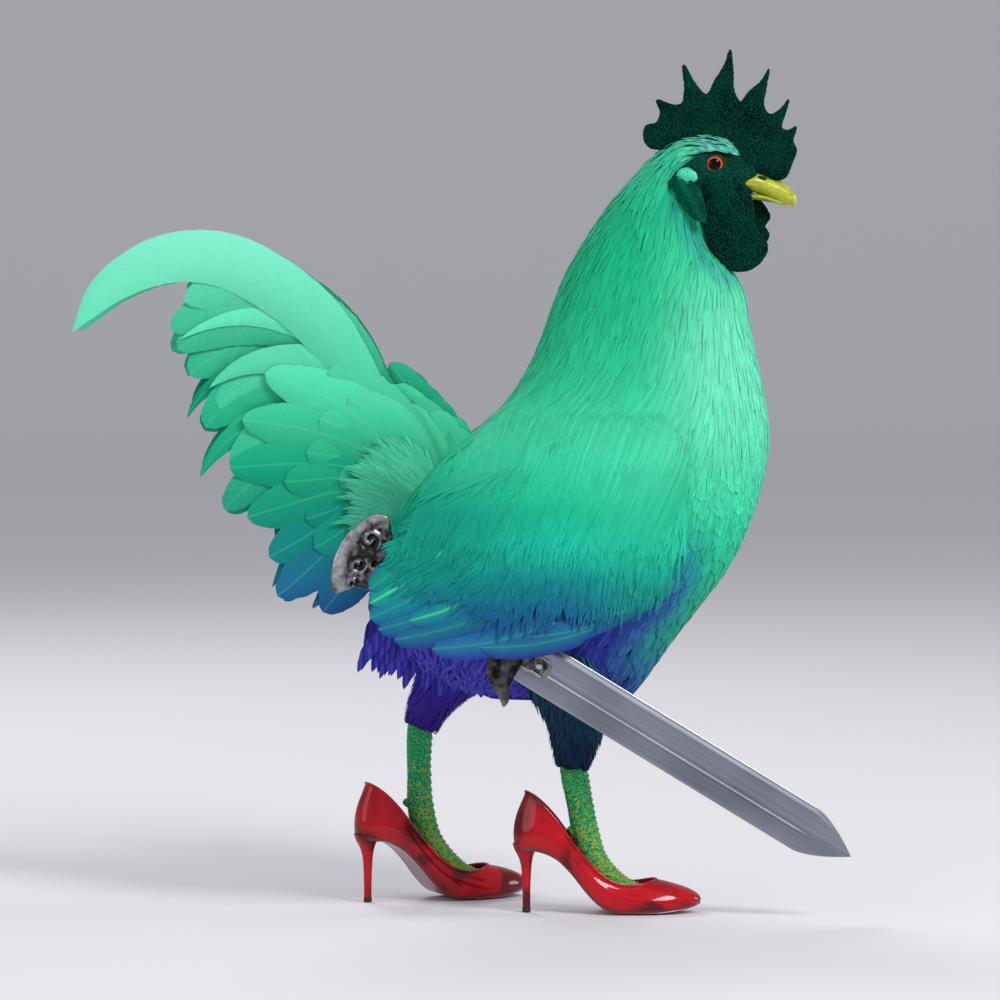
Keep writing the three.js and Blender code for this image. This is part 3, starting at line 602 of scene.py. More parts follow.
class Batch:
    """Many feathers gathered into one mesh. Each vane droops towards its edges by camber, and the direction it
    is shaded with leans out to them by SOFT_SPREAD, so that it looks rounder than it is."""

    def __init__(self):
        self.points, self.faces, self.tints, self.vanes, self.softs, self.count = [], [], [], [], [], 0

    def add(self, line, side, up, half_width, shape, columns, camber, tint, root_shade=0.62, ragged=0.0):
        """line, side and up are (feathers, rows, 3). tint(points) gives the colour of each point."""
        n, rows, _ = line.shape
        t = np.linspace(0, 1, rows)
        v = np.linspace(-1, 1, columns)
        width = np.asarray(half_width, float).reshape(-1, 1) * shape(t)[None]
        if ragged:
            width = width * (1 + ragged * rng.standard_normal(width.shape) * (t > 0.3))
        vv = v[None, None, :, None]
        grid = line[:, :, None] + side[:, :, None] * (width[:, :, None, None] * vv)
        dome = camber * width[:, :, None, None] * (np.abs(vv) ** CAMBER_POWER)
        grid = grid - up[:, :, None] * dome
        length = np.linalg.norm(np.diff(line, axis=1), axis=2).sum(1)
        seed = rng.random(n)
        vane = np.zeros((n, rows, columns, 3))
        vane[..., 0] = (t[None] * length[:, None])[..., None]
        vane[..., 1] = width[:, :, None] * v
        vane[..., 2] = seed[:, None, None]
        flat = grid.reshape(-1, 3)
        colour = tint(flat).reshape(n, rows, columns, 3)
        # Painted shade: each feather is darker towards its root, where the feathers over it cover it, and a
        # little brighter than its tint at the tip. root_shade is the share of the tint left at the root.
        root_shading = mix(root_shade, 1.06, smoothstep(t, 0.0, 0.75))[None, :, None, None]
        colour = colour * root_shading * (1 + TINT_JITTER * rng.standard_normal(n))[:, None, None, None]
        self.points.append(flat)
        self.tints.append(np.clip(colour, 0, 1).reshape(-1, 3))
        self.vanes.append(vane.reshape(-1, 3))
        soft = unit(up[:, :, None] + side[:, :, None] * vv * SOFT_SPREAD)
        self.softs.append(soft.reshape(-1, 3))
        quads = grid_faces(rows, columns)[None] + (np.arange(n) * rows * columns)[:, None, None]
        self.faces.append(quads.reshape(-1, 4) + self.count)
        self.count += len(flat)

    def object(self, name, mat, body):
        points, faces = np.concatenate(self.points), np.concatenate(self.faces)
        obj = mesh_object(name, points, faces, body, mat, tint=np.concatenate(self.tints))
        set_vectors(obj, "vane", np.concatenate(self.vanes))
        set_vectors(obj, "soft", np.concatenate(self.softs))
        return obj


def bezier(p0, p1, p2, p3, rows):
    t = np.linspace(0, 1, rows)[:, None]
    return (1 - t)**3 * p0 + 3 * t * (1 - t)**2 * p1 + 3 * t**2 * (1 - t) * p2 + t**3 * p3


def add_plume(batch, line, side, y, half_width, tint, shape=flight_shape, bend=0.0, columns=15,
              ragged=0.02, camber=0.16, flare=0.0):
    """A broad feather that stands upright beside the middle plane. line is x, z points.
    flare is how much further out its root stands, and bend how much further out its tip."""
    rows = len(line)
    t = np.linspace(0, 1, rows)
    p = np.stack([line[:, 0], side * (y + bend * t**2 + flare * (1 - t)**2), line[:, 1]], -1)
    along = unit(np.gradient(p, axis=0))
    up = square_to(np.array([0.0, side, 0.0]), along)
    across = np.cross(up, along)
    batch.add(p[None], across[None], up[None], half_width, shape, columns, camber, tint, root_shade=0.86,
              ragged=ragged)


def arc_line(root, tip, start, end, rows):
    """A smooth curve in the x, z plane between two points, given its directions there in degrees."""
    root, tip = np.array(root, float), np.array(tip, float)
    reach = np.linalg.norm(tip - root)
    start, end = math.radians(start), math.radians(end)
    p1 = root + reach * 0.45 * np.array([math.cos(start), math.sin(start)])
    p2 = tip - reach * 0.42 * np.array([math.cos(end), math.sin(end)])
    return bezier(root, p1, p2, tip, rows)


ROOT_JITTER = 0.22


class Form:
    """A smooth closed surface of rings. Each row is t, the centre, half the depth along u and half the width.
    Its rings are level, or square to the line of their centres."""

    def __init__(self, rows, level=True):
        rows = np.array(rows, float)
        self.t = rows[:, 0]
        self.centre = rows[:, 1:4]
        self.size = rows[:, 4:6]
        self.level = level

    def axes(self, t):
        if self.level:
            u = np.broadcast_to([1.0, 0.0, 0.0], (len(t), 3))
        else:
            step = (self.t[-1] - self.t[0]) * 1e-3
            along = unit(hermite(t + step, self.t, self.centre) - hermite(t - step, self.t, self.centre))
            u = unit(np.stack([along[:, 2], np.zeros(len(t)), -along[:, 0]], -1))
        return u, np.broadcast_to([0.0, 1.0, 0.0], (len(t), 3))

    def point(self, t, a, grow=0.0):
        t, a = np.broadcast_arrays(np.asarray(t, float), np.asarray(a, float))
        shape = t.shape
        t, a = t.ravel(), a.ravel()
        size = hermite(t, self.t, self.size) + grow
        u, v = self.axes(t)
        p = hermite(t, self.t, self.centre)
        p = p + u * (size[:, :1] * np.cos(a)[:, None]) + v * (size[:, 1:] * np.sin(a)[:, None])
        return p.reshape(*shape, 3)

    def frame(self, t, a):
        """Points, the two tangents and the outward normals."""
        et, ea = (self.t[-1] - self.t[0]) * 1e-3, 1e-3
        p = self.point(t, a)
        inside = np.clip(t, self.t[0] + 2 * et, self.t[-1] - 2 * et)
        pt = (self.point(inside + et, a) - self.point(inside - et, a)) / (2 * et)
        pa = (self.point(t, a + ea) - self.point(t, a - ea)) / (2 * ea)
        n = unit(np.cross(pt, pa))
        out = p - hermite(t, self.t, self.centre)
        n = n * np.sign(np.sum(n * out, -1, keepdims=True) + 1e-12)
        return p, pt, pa, n

    def skin(self, rows=90, sides=72, grow=0.0):
        around = np.linspace(0, 2 * math.pi, sides, endpoint=False)
        t, a = np.meshgrid(np.linspace(self.t[0], self.t[-1], rows), around, indexing="ij")
        return self.point(t, a, grow).reshape(-1, 3), capped_tube(rows, sides)

    def roots(self, row_gap, side_gap, low=None, high=None):
        """Evenly spread t and a, staggered like roof tiles, from high to low."""
        low, high = self.t[0] if low is None else low, self.t[-1] if high is None else high
        scale = np.linalg.norm(self.centre[-1] - self.centre[0]) / (self.t[-1] - self.t[0])
        out = []
        for i, t in enumerate(np.arange(high, low, -row_gap / max(scale, 1e-6))):
            size = hermite(np.array([t]), self.t, self.size)[0]
            around = max(3, int(2 * math.pi * math.hypot(*size) / math.sqrt(2) / side_gap))
            a = (np.arange(around) + 0.5 * (i % 2)) * 2 * math.pi / around
            a = a + rng.normal(0, ROOT_JITTER, around) * 2 * math.pi / around
            t_here = np.full(around, t) + rng.normal(0, ROOT_JITTER, around) * row_gap / scale
            out.append(np.stack([t_here, a], -1))
        return np.concatenate(out).T


def lay(batch, form, t, a, flow, length, half_width, shape, steps=6, columns=3, lift=(0.0, 2.0),
        camber=0.18, tint=body_tint, spread=0.12, **look):
    """Lays feathers over a form. flow(points) is the way they point, and lift is how high their root and tip
    stand over it."""
    n = len(t)
    length = np.broadcast_to(length, (n,)) * (1 + 0.12 * rng.standard_normal(n))
    half_width = np.broadcast_to(half_width, (n,)) * (1 + 0.1 * rng.standard_normal(n))
    swerve = spread * rng.standard_normal((n, 1))
    raise_tip = rng.random(n) * 0.5
    line, sides, ups = [], [], []
    t, a = t.copy(), a.copy()
    for i in range(steps + 1):
        p, pt, pa, normal = form.frame(t, a)
        f = square_to(flow(p), normal)
        side = np.cross(normal, f)
        f = unit(f + side * swerve)
        side = np.cross(normal, f)
        share = i / steps
        height = mix(lift[0], lift[1] + raise_tip, share**1.3)[:, None]
        line.append(p + normal * height)
        sides.append(side)
        ups.append(normal)
        g11, g12, g22 = (np.sum(x * y, -1) for x, y in ((pt, pt), (pt, pa), (pa, pa)))
        b1, b2 = np.sum(f * pt, -1), np.sum(f * pa, -1)
        det = np.maximum(g11 * g22 - g12 * g12, 1e-9)
        step = length / steps
        t += (b1 * g22 - b2 * g12) / det * step
        a += (g11 * b2 - g12 * b1) / det * step
    stack = [np.stack(x, 1) for x in (line, sides, ups)]
    batch.add(*stack, half_width, shape, columns, camber, tint, **look)


# ------------------------------------------------------------------ trunk and neck
def rows_up(*rows):
    """Level rings for a Form from height, back, front and half width."""
    return [(z, (back + front) / 2, 0, z, (front - back) / 2, half) for z, back, front, half in rows]


TRUNK = Form(rows_up(
    (146, 20, 118, 22), (160, -12, 130, 42), (180, -40, 144, 56), (205, -56, 163, 66), (235, -60, 186, 71),
    (270, -48, 203, 73), (300, -26, 212, 71), (325, 2, 216, 66), (350, 30, 214, 60), (380, 50, 208, 54),
    (410, 62, 202, 49), (432, 70, 198, 46), (446, 76, 190, 42), (460, 84, 177, 37), (480, 97, 169, 30),
    (500, 112, 172, 26), (512, 123, 180, 24), (522, 132, 185, 20.5), (530, 141, 186, 15), (536, 150, 183, 9),
    (539, 160, 176, 4),
))


def flow_field(x, z, y=0.0):
    """Turns x and z parts into directions, one for each point."""
    return np.stack([x, np.broadcast_to(y, x.shape), np.broadcast_to(z, x.shape)], -1)


def neck_flow(p):
    """Down the neck, sweeping back over the shoulders."""
    lean = -0.30 - 0.25 * smoothstep(p[:, 2], 470, 530) + 0.30 * smoothstep(p[:, 0], 150, 205)
    sweep = 0.75 * (1 - smoothstep(p[:, 2], 320, 400)) * (1 - smoothstep(p[:, 0], 120, 190))
    return flow_field(lean - sweep, -1.0)


def body_flow(p):
    rear = 1 - smoothstep(p[:, 0], -10, 130)
    return flow_field(-0.30 - 0.9 * rear, -1 + 0.45 * rear)


def saddle_flow(p):
    return flow_field(np.full(len(p), -1.0), -0.55, np.sign(p[:, 1]) * 0.2)


def fluff_flow(p):
    return flow_field(np.full(len(p), -0.35), -1.0)


def fluff_tint(p):
    patch = 0.5 + 0.5 * np.sin(p[:, 1] * 0.9 + p[:, 0] * 1.3)
    base = mix(srgb(46, 42, 142), srgb(80, 76, 192), patch[:, None])
    return mix(base, body_tint(p), (smoothstep(p[:, 2], 196, 240) * 0.9)[:, None])


def strands(batch, form, t, a, flow, length, half_width, steps=6, lift=(0.2, 1.5), tint=body_tint, **look):
    """Slender feathers, which together look like soft streaked plumage."""
    look = {"root_shade": 0.9, "spread": 0.14, "camber": 0.12, **look}
    lay(batch, form, t, a, flow, length, half_width, hackle_shape, steps=steps, lift=lift, tint=tint, **look)


def neck_tint(p):
    """The trunk's colour, with a blue line where the hackles meet the bare face and below the wattles."""
    x, z = p[:, 0], p[:, 2]
    edge = np.exp(-((x - 150) / 2.6) ** 2) * smoothstep(z, 476, 490) * (1 - smoothstep(z, 510, 522))
    under = np.exp(-(distance_to(np.array([(158.0, 478), (170, 452), (188, 438)]), x, z) / 6) ** 2)
    return mix(body_tint(p), srgb(30, 92, 138), np.clip(0.6 * edge + 0.35 * under, 0, 1)[:, None])


def build_trunk():
    points, faces = TRUNK.skin(150, 96, grow=-1.5)
    # Darker tint: painted shade between the feathers over this base.
    base = mesh_object("plumage_base", points, faces, None, UNDER, tint=body_tint(points) * 0.85)
    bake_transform(base)
    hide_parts("body_shell_left", "body_shell_right", "hackle_cape", "head_shell", "head_swivel")

    contour = Batch()
    t, a = TRUNK.roots(8.5, 9.5, 153, 318)
    p = TRUNK.point(t, a)
    keep = (p[:, 0] > 20) & ((p[:, 2] < 275) | (p[:, 0] > 130))
    length = np.minimum(20, (t[keep] - 144) * 1.1)
    lay(contour, TRUNK, t[keep], a[keep], body_flow, length, 6.4, contour_shape, columns=7, lift=(0.1, 0.9),
        camber=0.06, root_shade=0.93)
    contour.object("breast_contour_feathers", FEATHER, "torso")

    body = Batch()
    t, a = TRUNK.roots(4.4, 3.8, 205, 352)
    p = TRUNK.point(t, a)
    scalloped = smoothstep(p[:, 0], 118, 150) * (1 - smoothstep(p[:, 2], 262, 315))
    keep = (rng.random(len(t)) > 0.85 * scalloped) & ((p[:, 2] > 255) | (p[:, 0] < 10) | (p[:, 0] > 118))
    strands(body, TRUNK, t[keep], a[keep], body_flow, 32, 2.0, lift=(0.2, 0.9))
    body.object("body_plumage", FINE, "torso")

    neck = Batch()
    t, a = TRUNK.roots(4.2, 3.2, 352, 534)
    p = TRUNK.point(t, a)
    x, z = p[:, 0], p[:, 2]
    bare = ((x > 147) & (z > 497) & (z < 519)) | ((x > 156) & (z > 510)) | ((x > 172) & (z > 462))
    t, a, z = t[~bare], a[~bare], z[~bare]
    length = hermite(z, (350, 420, 460, 500, 535), (56, 54, 42, 24, 13))
    width = hermite(z, (350, 420, 500, 535), (2.2, 2.1, 1.7, 1.4))
    strands(neck, TRUNK, t, a, neck_flow, length, width, steps=8, lift=(0.2, 0.85), spread=0.08,
            tint=neck_tint)
    hackles = neck.object("neck_hackles", FINE, None)
    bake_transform(hackles)

    saddle = Batch()
    for low, high, lift in ((250, 338, (0.6, 2.2)), (275, 334, (2.0, 4.2))):
        t, a = TRUNK.roots(4.6, 3.9, low, high)
        p = TRUNK.point(t, a)
        keep = (p[:, 0] < 74) & (p[:, 2] > 258 + 0.25 * (p[:, 0] + 60))
        strands(saddle, TRUNK, t[keep], a[keep], saddle_flow, 50, 2.2, steps=8, lift=lift)
    saddle.object("saddle_hackles", FINE, "torso")

    fluff = Batch()
    for grow, gap in ((0, 4.0), (1.5, 5.0)):
        t, a = TRUNK.roots(gap, gap, 153, 226)
        p = TRUNK.point(t, a)
        keep = p[:, 0] < mix(34, 105, smoothstep(-p[:, 2], -178, -152))
        length = np.minimum(20, (t[keep] - 147) * 1.1)
        strands(fluff, TRUNK, t[keep], a[keep], fluff_flow, length, 2.0, steps=5, lift=(grow, grow + 1.6),
                tint=fluff_tint, spread=0.4)
    for _ in range(90):
        x = rng.uniform(-60, 12)
        z = 206 - 0.36 * (x + 60) - rng.uniform(0, 14)
        tip = np.array([x - rng.uniform(3, 15), z - rng.uniform(18, 30)])
        line = bezier(np.array([x, z]), np.array([x - 4, z - 9]), tip + (3, 9), tip, 14)
        add_plume(fluff, line, rng.choice([-1, 1]), rng.uniform(3, 20), rng.uniform(2.6, 5), fluff_tint,
                  pointed_shape, columns=7, ragged=0.05)
    fluff.object("vent_fluff", FINE, "torso")


# ------------------------------------------------------------------ head
def pebbled_material(name, dark, light, glint, scale):
    """Bare pebbled skin, mottled between two shades, with a third painted on the tops of the bumps as painted
    highlights.
    """
    s = Shader(name, roughness=0.5, specular_ior_level=0.025)
    cells = s.cells(scale)
    skin = s.blend(s.ramp(s.noise(30, 2), (0.35, 0.0), (0.7, 1.0)), dark, light)
    # Painted highlights: specks of the glint colour on the tops of the bumps, where the cells' distance is
    # small.
    glints = s.math("MULTIPLY", s.math("LESS_THAN", cells, 0.42), s.noise(160, 2))
    s.colour(s.blend(s.math("MULTIPLY", glints, 0.62), skin, glint))
    s.bump(s.math("SUBTRACT", 1.0, cells), 0.8, 0.8)
    return s.mat


COMB_SKIN = pebbled_material("comb_skin", srgb(0, 20, 15), srgb(0, 48, 34), srgb(8, 104, 92), 820)
FACE_SKIN = pebbled_material("face_skin", srgb(0, 32, 24), srgb(2, 62, 46), srgb(14, 104, 100), 640)
LOBE_SKIN = pebbled_material("lobe_skin", srgb(0, 40, 28), srgb(3, 84, 60), srgb(16, 118, 108), 640)
COMB_LINE = [
    (129, 537), (131, 547), (137, 548), (140.5, 556), (137.6, 564), (151, 560.7), (155, 561.5), (157, 568.5),
    (156.5, 589), (165.5, 574.5), (172, 568), (179, 579), (185.5, 589.5), (189, 600), (190.8, 587),
    (192.5, 568.5), (196, 562.8), (202, 570), (211, 578), (216, 586), (214, 573), (213, 558), (216, 554.4),
    (223, 557), (230, 565), (227, 553.5), (225, 544.5), (229.5, 543), (235, 546), (233, 535), (235, 531),
    (232, 520), (227, 510), (216, 509), (205, 512), (196, 517), (189, 526), (177, 532), (165, 533), (157, 531),
    (142, 530), (132, 532),
]
WATTLE_LINE = {
    "right": [(200, 503), (205, 489), (206, 478), (215, 461), (210, 451.5), (200.5, 445.5), (193.5, 445),
              (184.5, 448), (175.5, 460.5), (170.5, 477), (171, 492), (186, 503)],
    "left": [(200, 503), (206, 499), (212, 493), (217.5, 482), (214, 476.5), (217, 471), (212.5, 462),
             (204, 454), (194, 449), (184.5, 451), (176, 462), (171, 478), (171, 492), (186, 503)],
}
LOBE_LINE = [(150, 508), (157, 509.5), (164.5, 505.5), (170, 493.5), (170, 479), (165.5, 480.5), (158, 487),
             (151.5, 498)]


# How far round from the front the bare cheek reaches, in radians, at each height.
CHEEK_EDGE = (496, 498, 503, 507, 514, 520.5, 527.5, 531), (1.1, 1.2, 1.5, 1.66, 1.67, 1.55, 1.36, 1.2)


def roughen(obj, size, depth, fine=0.0):
    """Raises rounded bumps over an object, in millimetres."""
    p, n = coords(obj), normals(obj)
    rise = (pebbles(p, size) - 0.5) * depth
    if fine:
        rise = rise + fbm(p, size * 0.35) * fine
    set_coords(obj, p + n * rise[:, None])


def build_comb():
    outline = rounded(COMB_LINE, 200)
    comb = fused("comb_blades", [slab(outline, -2.9, 2.9)], 0.85, COMB_SKIN, 3)
    p = coords(comb)
    height = p[:, 2] - (531 - 0.2 * np.maximum(0, p[:, 0] - 190))
    p[:, 1] = p[:, 1] * mix(1.75, 0.72, smoothstep(height, 0, 40))
    p[:, 1] += 1.1 * np.sin(p[:, 0] / 9) * smoothstep(height, 5, 40)
    set_coords(comb, p)
    roughen(comb, 2.2, 1.0, 0.4)
    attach(comb, "head")
    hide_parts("comb")


def build_face():
    face = fused("face_skin", [
        ellipsoid((180, 0, 511), (24.5, 20, 19.5)),
        ellipsoid((197, 0, 506), (9.5, 9.6, 10)),
        ellipsoid((197, 0, 512), (13, 11.8, 9.5)),
        ellipsoid((188, 0, 500), (15, 17, 11)),
        ellipsoid((176, 0, 490), (12, 12, 14)),
    ], 0.9, FACE_SKIN, 10)
    roughen(face, 1.9, 0.55, 0.12)
    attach(face, "head")
    t, a = np.meshgrid(np.linspace(496, 531, 80), np.linspace(-1.0, 1.0, 150), indexing="ij")
    a = a * np.interp(t, *CHEEK_EDGE)
    points = TRUNK.point(t, a, 0.9).reshape(-1, 3)
    cheek = mesh_object("cheek_skin", points, grid_faces(80, 150), None, FACE_SKIN)
    roughen(cheek, 1.9, 0.6, 0.1)
    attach(cheek, "head")
    for side, hand in SIDES:
        outline = rounded(WATTLE_LINE[hand], 120)
        wattle = fused("wattle_skin_" + hand, [slab(outline, -3.4, 3.4)], 0.8, COMB_SKIN, 10)
        p = coords(wattle)
        middle = 1 - smoothstep(np.hypot((p[:, 0] - 192) / 24, (p[:, 2] - 472) / 30), 0.2, 1.1)
        p[:, 1] = p[:, 1] * mix(0.75, 1.35, middle) + side * (12.2 + 1.3 * np.sin(p[:, 2] / 8 + 1))
        set_coords(wattle, p)
        roughen(wattle, 2.3, 0.8, 0.2)
        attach(wattle, "head")
        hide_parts("wattle_" + hand)

        lobe = fused("ear_lobe_skin_" + hand, [slab(rounded(LOBE_LINE, 80), -2.6, 2.6)], 0.6, LOBE_SKIN, 8)
        p = coords(lobe)
        across = (p[:, 0] - 160) * 0.88 + (p[:, 2] - 494) * 0.47
        p[:, 1] += side * (25.4 + 1.0 * np.cos(across * 0.75) - 0.02 * across**2)
        set_coords(lobe, p)
        roughen(lobe, 2.2, 0.7, 0.15)
        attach(lobe, "head")
        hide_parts("ear_lobe_" + hand)


EYE = np.array([177.7, 13.2, 519.6])
EYE_RADIUS = 7.5


def build_eyes():
    s = Shader("eye_glass", roughness=0.06, specular_ior_level=0.14)
    s.colour(s.attribute("tint").outputs["Color"])
    lid = Shader("eyelid_skin", base_color=(*srgb(3, 48, 36), 1), roughness=0.5, specular_ior_level=0.2)
    lid.bump(lid.noise(500), 0.4, 0.4)
    for side, hand in SIDES:
        centre = EYE * (1, side, 1)
        points, faces = ellipsoid((0, 0, 0), (EYE_RADIUS,) * 3, rings=64, sides=96)
        points = points[:, [0, 2, 1]] * (1, side, 1)
        off_axis = np.hypot(points[:, 0], points[:, 2])
        angle = np.arctan2(points[:, 2], points[:, 0])
        ray = 0.82 + 0.18 * np.sin(angle * 37 + np.sin(angle * 11) * 2)
        iris = mix(srgb(255, 112, 48), srgb(214, 44, 22), smoothstep(off_axis, 4.6, 5.6)[:, None])
        iris = iris * ray[:, None]
        tint = np.where(off_axis[:, None] < 4.5, srgb(3, 2, 2), iris)
        tint = mix(tint, srgb(2, 18, 12), smoothstep(off_axis, 5.6, 5.9)[:, None])
        eye = mesh_object("eye_glass_" + hand, points + centre, faces, "head", s.mat, tint=tint)
        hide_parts("eye_" + hand)
        turn = np.linspace(0, 2 * math.pi, 72, endpoint=False)
        radius = 6.3 + 0.25 * np.sin(2 * turn)
        ring = np.stack([
            centre[0] + radius * 1.08 * np.cos(turn), np.full(72, centre[1] + side * 4.3),
            centre[2] + radius * 0.96 * np.sin(turn),
        ], -1)
        points, faces = tube_mesh(ring, 1.15, 12, closed=True)
        mesh_object("eyelid_" + hand, points, faces, "head", lid.mat)


def ribbed_loft(top, bottom, half_width, rows=48, sides=40, sharp=1.0):
    """A tapering closed body between a top and a bottom line of x, z points."""
    knots = np.linspace(0, 1, len(top))
    t = np.linspace(0, 1, rows)
    top, bottom, width = (hermite(t, knots, values) for values in (top, bottom, half_width))
    a = np.linspace(0, 2 * math.pi, sides, endpoint=False)
    rise = np.cos(a)
    across = np.sin(a) * np.where(rise > 0, (1 - 0.35 * sharp * rise**2), 1)
    middle, half = (top + bottom) / 2, (top - bottom) / 2
    x = middle[:, :1] + half[:, :1] * rise
    z = middle[:, 1:] + half[:, 1:] * rise
    return grid_points(x, width[:, None] * across, z), capped_tube(rows, sides)


def build_beak():
    horn = Shader("beak_horn", roughness=0.34, coat_weight=0.35, coat_roughness=0.25, subsurface_weight=0.08)
    grain = horn.noise(220, 4, horn.place((1, 1, 3)), 0.6)
    shades = (0.3, srgb(132, 150, 18)), (0.55, srgb(176, 180, 20)), (0.8, srgb(198, 198, 44))
    horn.colour(horn.ramp(grain, *shades))
    horn.bump(grain, 0.25, 0.4)
    dull = Shader("lower_beak_horn", roughness=0.38, coat_weight=0.3)
    dull.colour(dull.ramp(dull.noise(180, 3), (0.35, srgb(112, 140, 30)), (0.7, srgb(168, 172, 36))))
    points, faces = ribbed_loft(
        [(195, 508.5), (207, 515), (220, 510.3), (230, 504), (235.2, 497.5), (235, 490.2)],
        [(195, 503.3), (206, 500.1), (216, 496.6), (226, 492.9), (231.5, 491.3), (234.3, 489.6)],
        [11.4, 10.2, 7.2, 4.8, 2.5, 0.6],
    )
    upper = mesh_object("beak_horn_upper", points, faces, "head", horn.mat)
    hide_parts("beak_upper")
    points, faces = ribbed_loft(
        [(196, 499.3), (206, 499.4), (214, 498.2), (222, 495.2), (229.5, 492.6)],
        [(196, 494.5), (206, 494.8), (214, 493.7), (222, 491.8), (228.5, 490.9)],
        [8.4, 7.8, 6.0, 3.9, 0.9], sharp=-0.6,
    )
    lower = mesh_object("beak_horn_lower", points, faces, "jaw", dull.mat)
    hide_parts("beak_lower")
    # The nostrils' openings are dark ellipsoids: painted shade inside them.
    dark = Shader("nostril_painted_shade", base_color=(*srgb(16, 30, 12), 1), roughness=0.8)
    for side in (-1, 1):
        points, faces = ellipsoid((211.5, side * 8.6, 510.3), (3.4, 1.2, 1.2), 0.3)
        mesh_object("nostril", points, faces, "head", dark.mat)


def build_crown():
    """Short feathers over the skull, with violet strokes above the eye, and a tuft over each ear."""
    skull = Form([
        (500, 166, 0, 500, 24, 22.5), (515, 167, 0, 515, 29.5, 24.2), (525, 169, 0, 525, 27.5, 20.6),
        (532, 170, 0, 532, 23, 15.6), (537, 171, 0, 537, 16, 9.4), (539.5, 172, 0, 539.5, 8, 4),
    ])

    def crown_tint(p):
        base = mix(srgb(60, 190, 148), srgb(96, 214, 174), smoothstep(np.sin(p[:, 0] * 1.7), -1, 1)[:, None])
        stroke = smoothstep(np.sin(p[:, 0] * 0.9 + p[:, 2] * 0.8), 0.25, 0.8) * smoothstep(p[:, 0], 158, 168)
        return mix(base, srgb(92, 60, 150), (0.75 * stroke)[:, None])

    crown = Batch()
    t, a = skull.roots(2.3, 2.6, 506, 538.5)
    p = skull.point(t, a)
    brow = np.interp(p[:, 0], (140, 150, 158, 167, 183, 197), (507, 514, 520.5, 527.5, 528.5, 524))
    keep = p[:, 2] > brow + 1
    flow = lambda q: flow_field(np.full(len(q), -1.0), -0.25 - 0.5 * smoothstep(q[:, 0], 166, 146))
    lay(crown, skull, t[keep], a[keep], flow, 11, 1.5, hackle_shape, steps=4, lift=(0.3, 1.2), tint=crown_tint)
    pale = lambda q: np.broadcast_to(srgb(84, 214, 174), q.shape)
    for side, hand in SIDES:
        y = side * 24.8
        tuft = Form([
            (507, 159.2, y, 507, 3.0, 1.4), (509, 159, y, 509, 5.8, 2.6), (511.8, 158.6, y, 511.8, 6.8, 3.2),
            (514.6, 158, y, 514.6, 5.6, 2.6), (516.6, 157.5, y, 516.6, 2.6, 1.2),
        ])
        t, a = tuft.roots(1.3, 1.2)
        strands(crown, tuft, t, a, lambda q: flow_field(np.full(len(q), -1.0), -0.45), 4.6, 0.8, steps=4,
                lift=(0.2, 0.6), tint=pale, spread=0.5)
        points, faces = tuft.skin(24, 40)
        # Darker tint: painted shade under the tuft's strands.
        mesh_object("ear_tuft_" + hand, points, faces, "head", UNDER, tint=pale(points) * 0.6)
    crown.object("crown_feathers", FINE, "head")


# ------------------------------------------------------------------ wings
STAND_OFF, FRONT_STAND_OFF = 9.5, 3.5
OVER_GRIP = 92.5
LEAST_OUT = 50


class Sheet:
    """The outside of one wing, with x and z in place of a Form's t and a. out() is how far from the middle it
    is: it keeps off the trunk, less at its front edge, and swells to OVER_GRIP over the sword's grip."""

    def __init__(self, side, stand_off=STAND_OFF):
        self.side = side
        self.stand_off = stand_off

    def out(self, x, z):
        size = hermite(z, TRUNK.t, TRUNK.size)
        centre = hermite(z, TRUNK.t, TRUNK.centre)[..., 0]
        across = (x - centre) / size[..., 0]
        close = size[..., 1] * np.sqrt(1 - np.clip(np.abs(across), 0, 0.93) ** 2)
        if not self.stand_off:
            return close
        swell = smoothstep(-x, -125, -62) * smoothstep(-z, -318, -284)
        clear = close + mix(self.stand_off, FRONT_STAND_OFF, smoothstep(x, 118, 160))
        return np.maximum(mix(clear, OVER_GRIP, swell), LEAST_OUT)

    def point(self, x, z, grow=0.0):
        return np.stack([x, self.side * (self.out(x, z) + grow), z], -1)

    def frame(self, x, z):
        p = self.point(x, z)
        px = self.point(x + 0.5, z) - self.point(x - 0.5, z)
        pz = self.point(x, z + 0.5) - self.point(x, z - 0.5)
        n = unit(np.cross(px, pz))
        n = n * np.sign(n[:, 1:2] * self.side)
        return p, px, pz, n


WING_LINE = [
    (160, 292), (146, 306), (122, 313), (80, 315), (50, 313), (24, 309), (-2, 297), (-20, 281), (-40, 260),
    (-54, 236), (-62, 216), (-58, 204), (-46, 194), (-16, 188), (20, 189), (56, 195), (64, 202), (98, 206),
    (126, 218), (148, 248),
]
# Where the shoulder's hinge bracket is, in x and z, and how far out its cover must stand.
SHOULDER, BRACKET_OUT = (98, 315), 73.5
# The wing's skin keeps inside its feathers: its outline is squeezed in height and raised.
WING_SQUEEZE, WING_RAISE = 0.95, 12
# The long feathers of the wing, from the lowest layer up: the tip's x and z, the direction in degrees, the
# length, half the width and how much they shine.
FLIGHT = [
    (104, 211, 206, 50, 7.5, 0.2), (76, 202, 200, 56, 8, 0.3), (48, 196, 195, 72, 8.5, 0.5),
    (14, 189, 189, 78, 9, 0.8), (-18, 188, 192, 86, 10, 0.7), (-44, 194, 198, 92, 11, 0.7),
    (-55, 201, 203, 88, 11, 0.6), (-34, 207, 204, 80, 11, 1.2), (-61, 209, 211, 82, 12, 0.7),
    (-61, 219, 218, 80, 12, 1.3), (-61, 229, 225, 64, 10, 0.6),
]


def inside(line, x, z):
    """Which points lie within a closed outline."""
    hit = np.zeros(len(x), bool)
    line = np.array(line, float)
    for (x0, z0), (x1, z1) in zip(line, np.roll(line, -1, 0)):
        crosses = (z0 > z) != (z1 > z)
        if z0 != z1:
            hit ^= crosses & (x < x0 + (z - z0) * (x1 - x0) / (z1 - z0))
    return hit


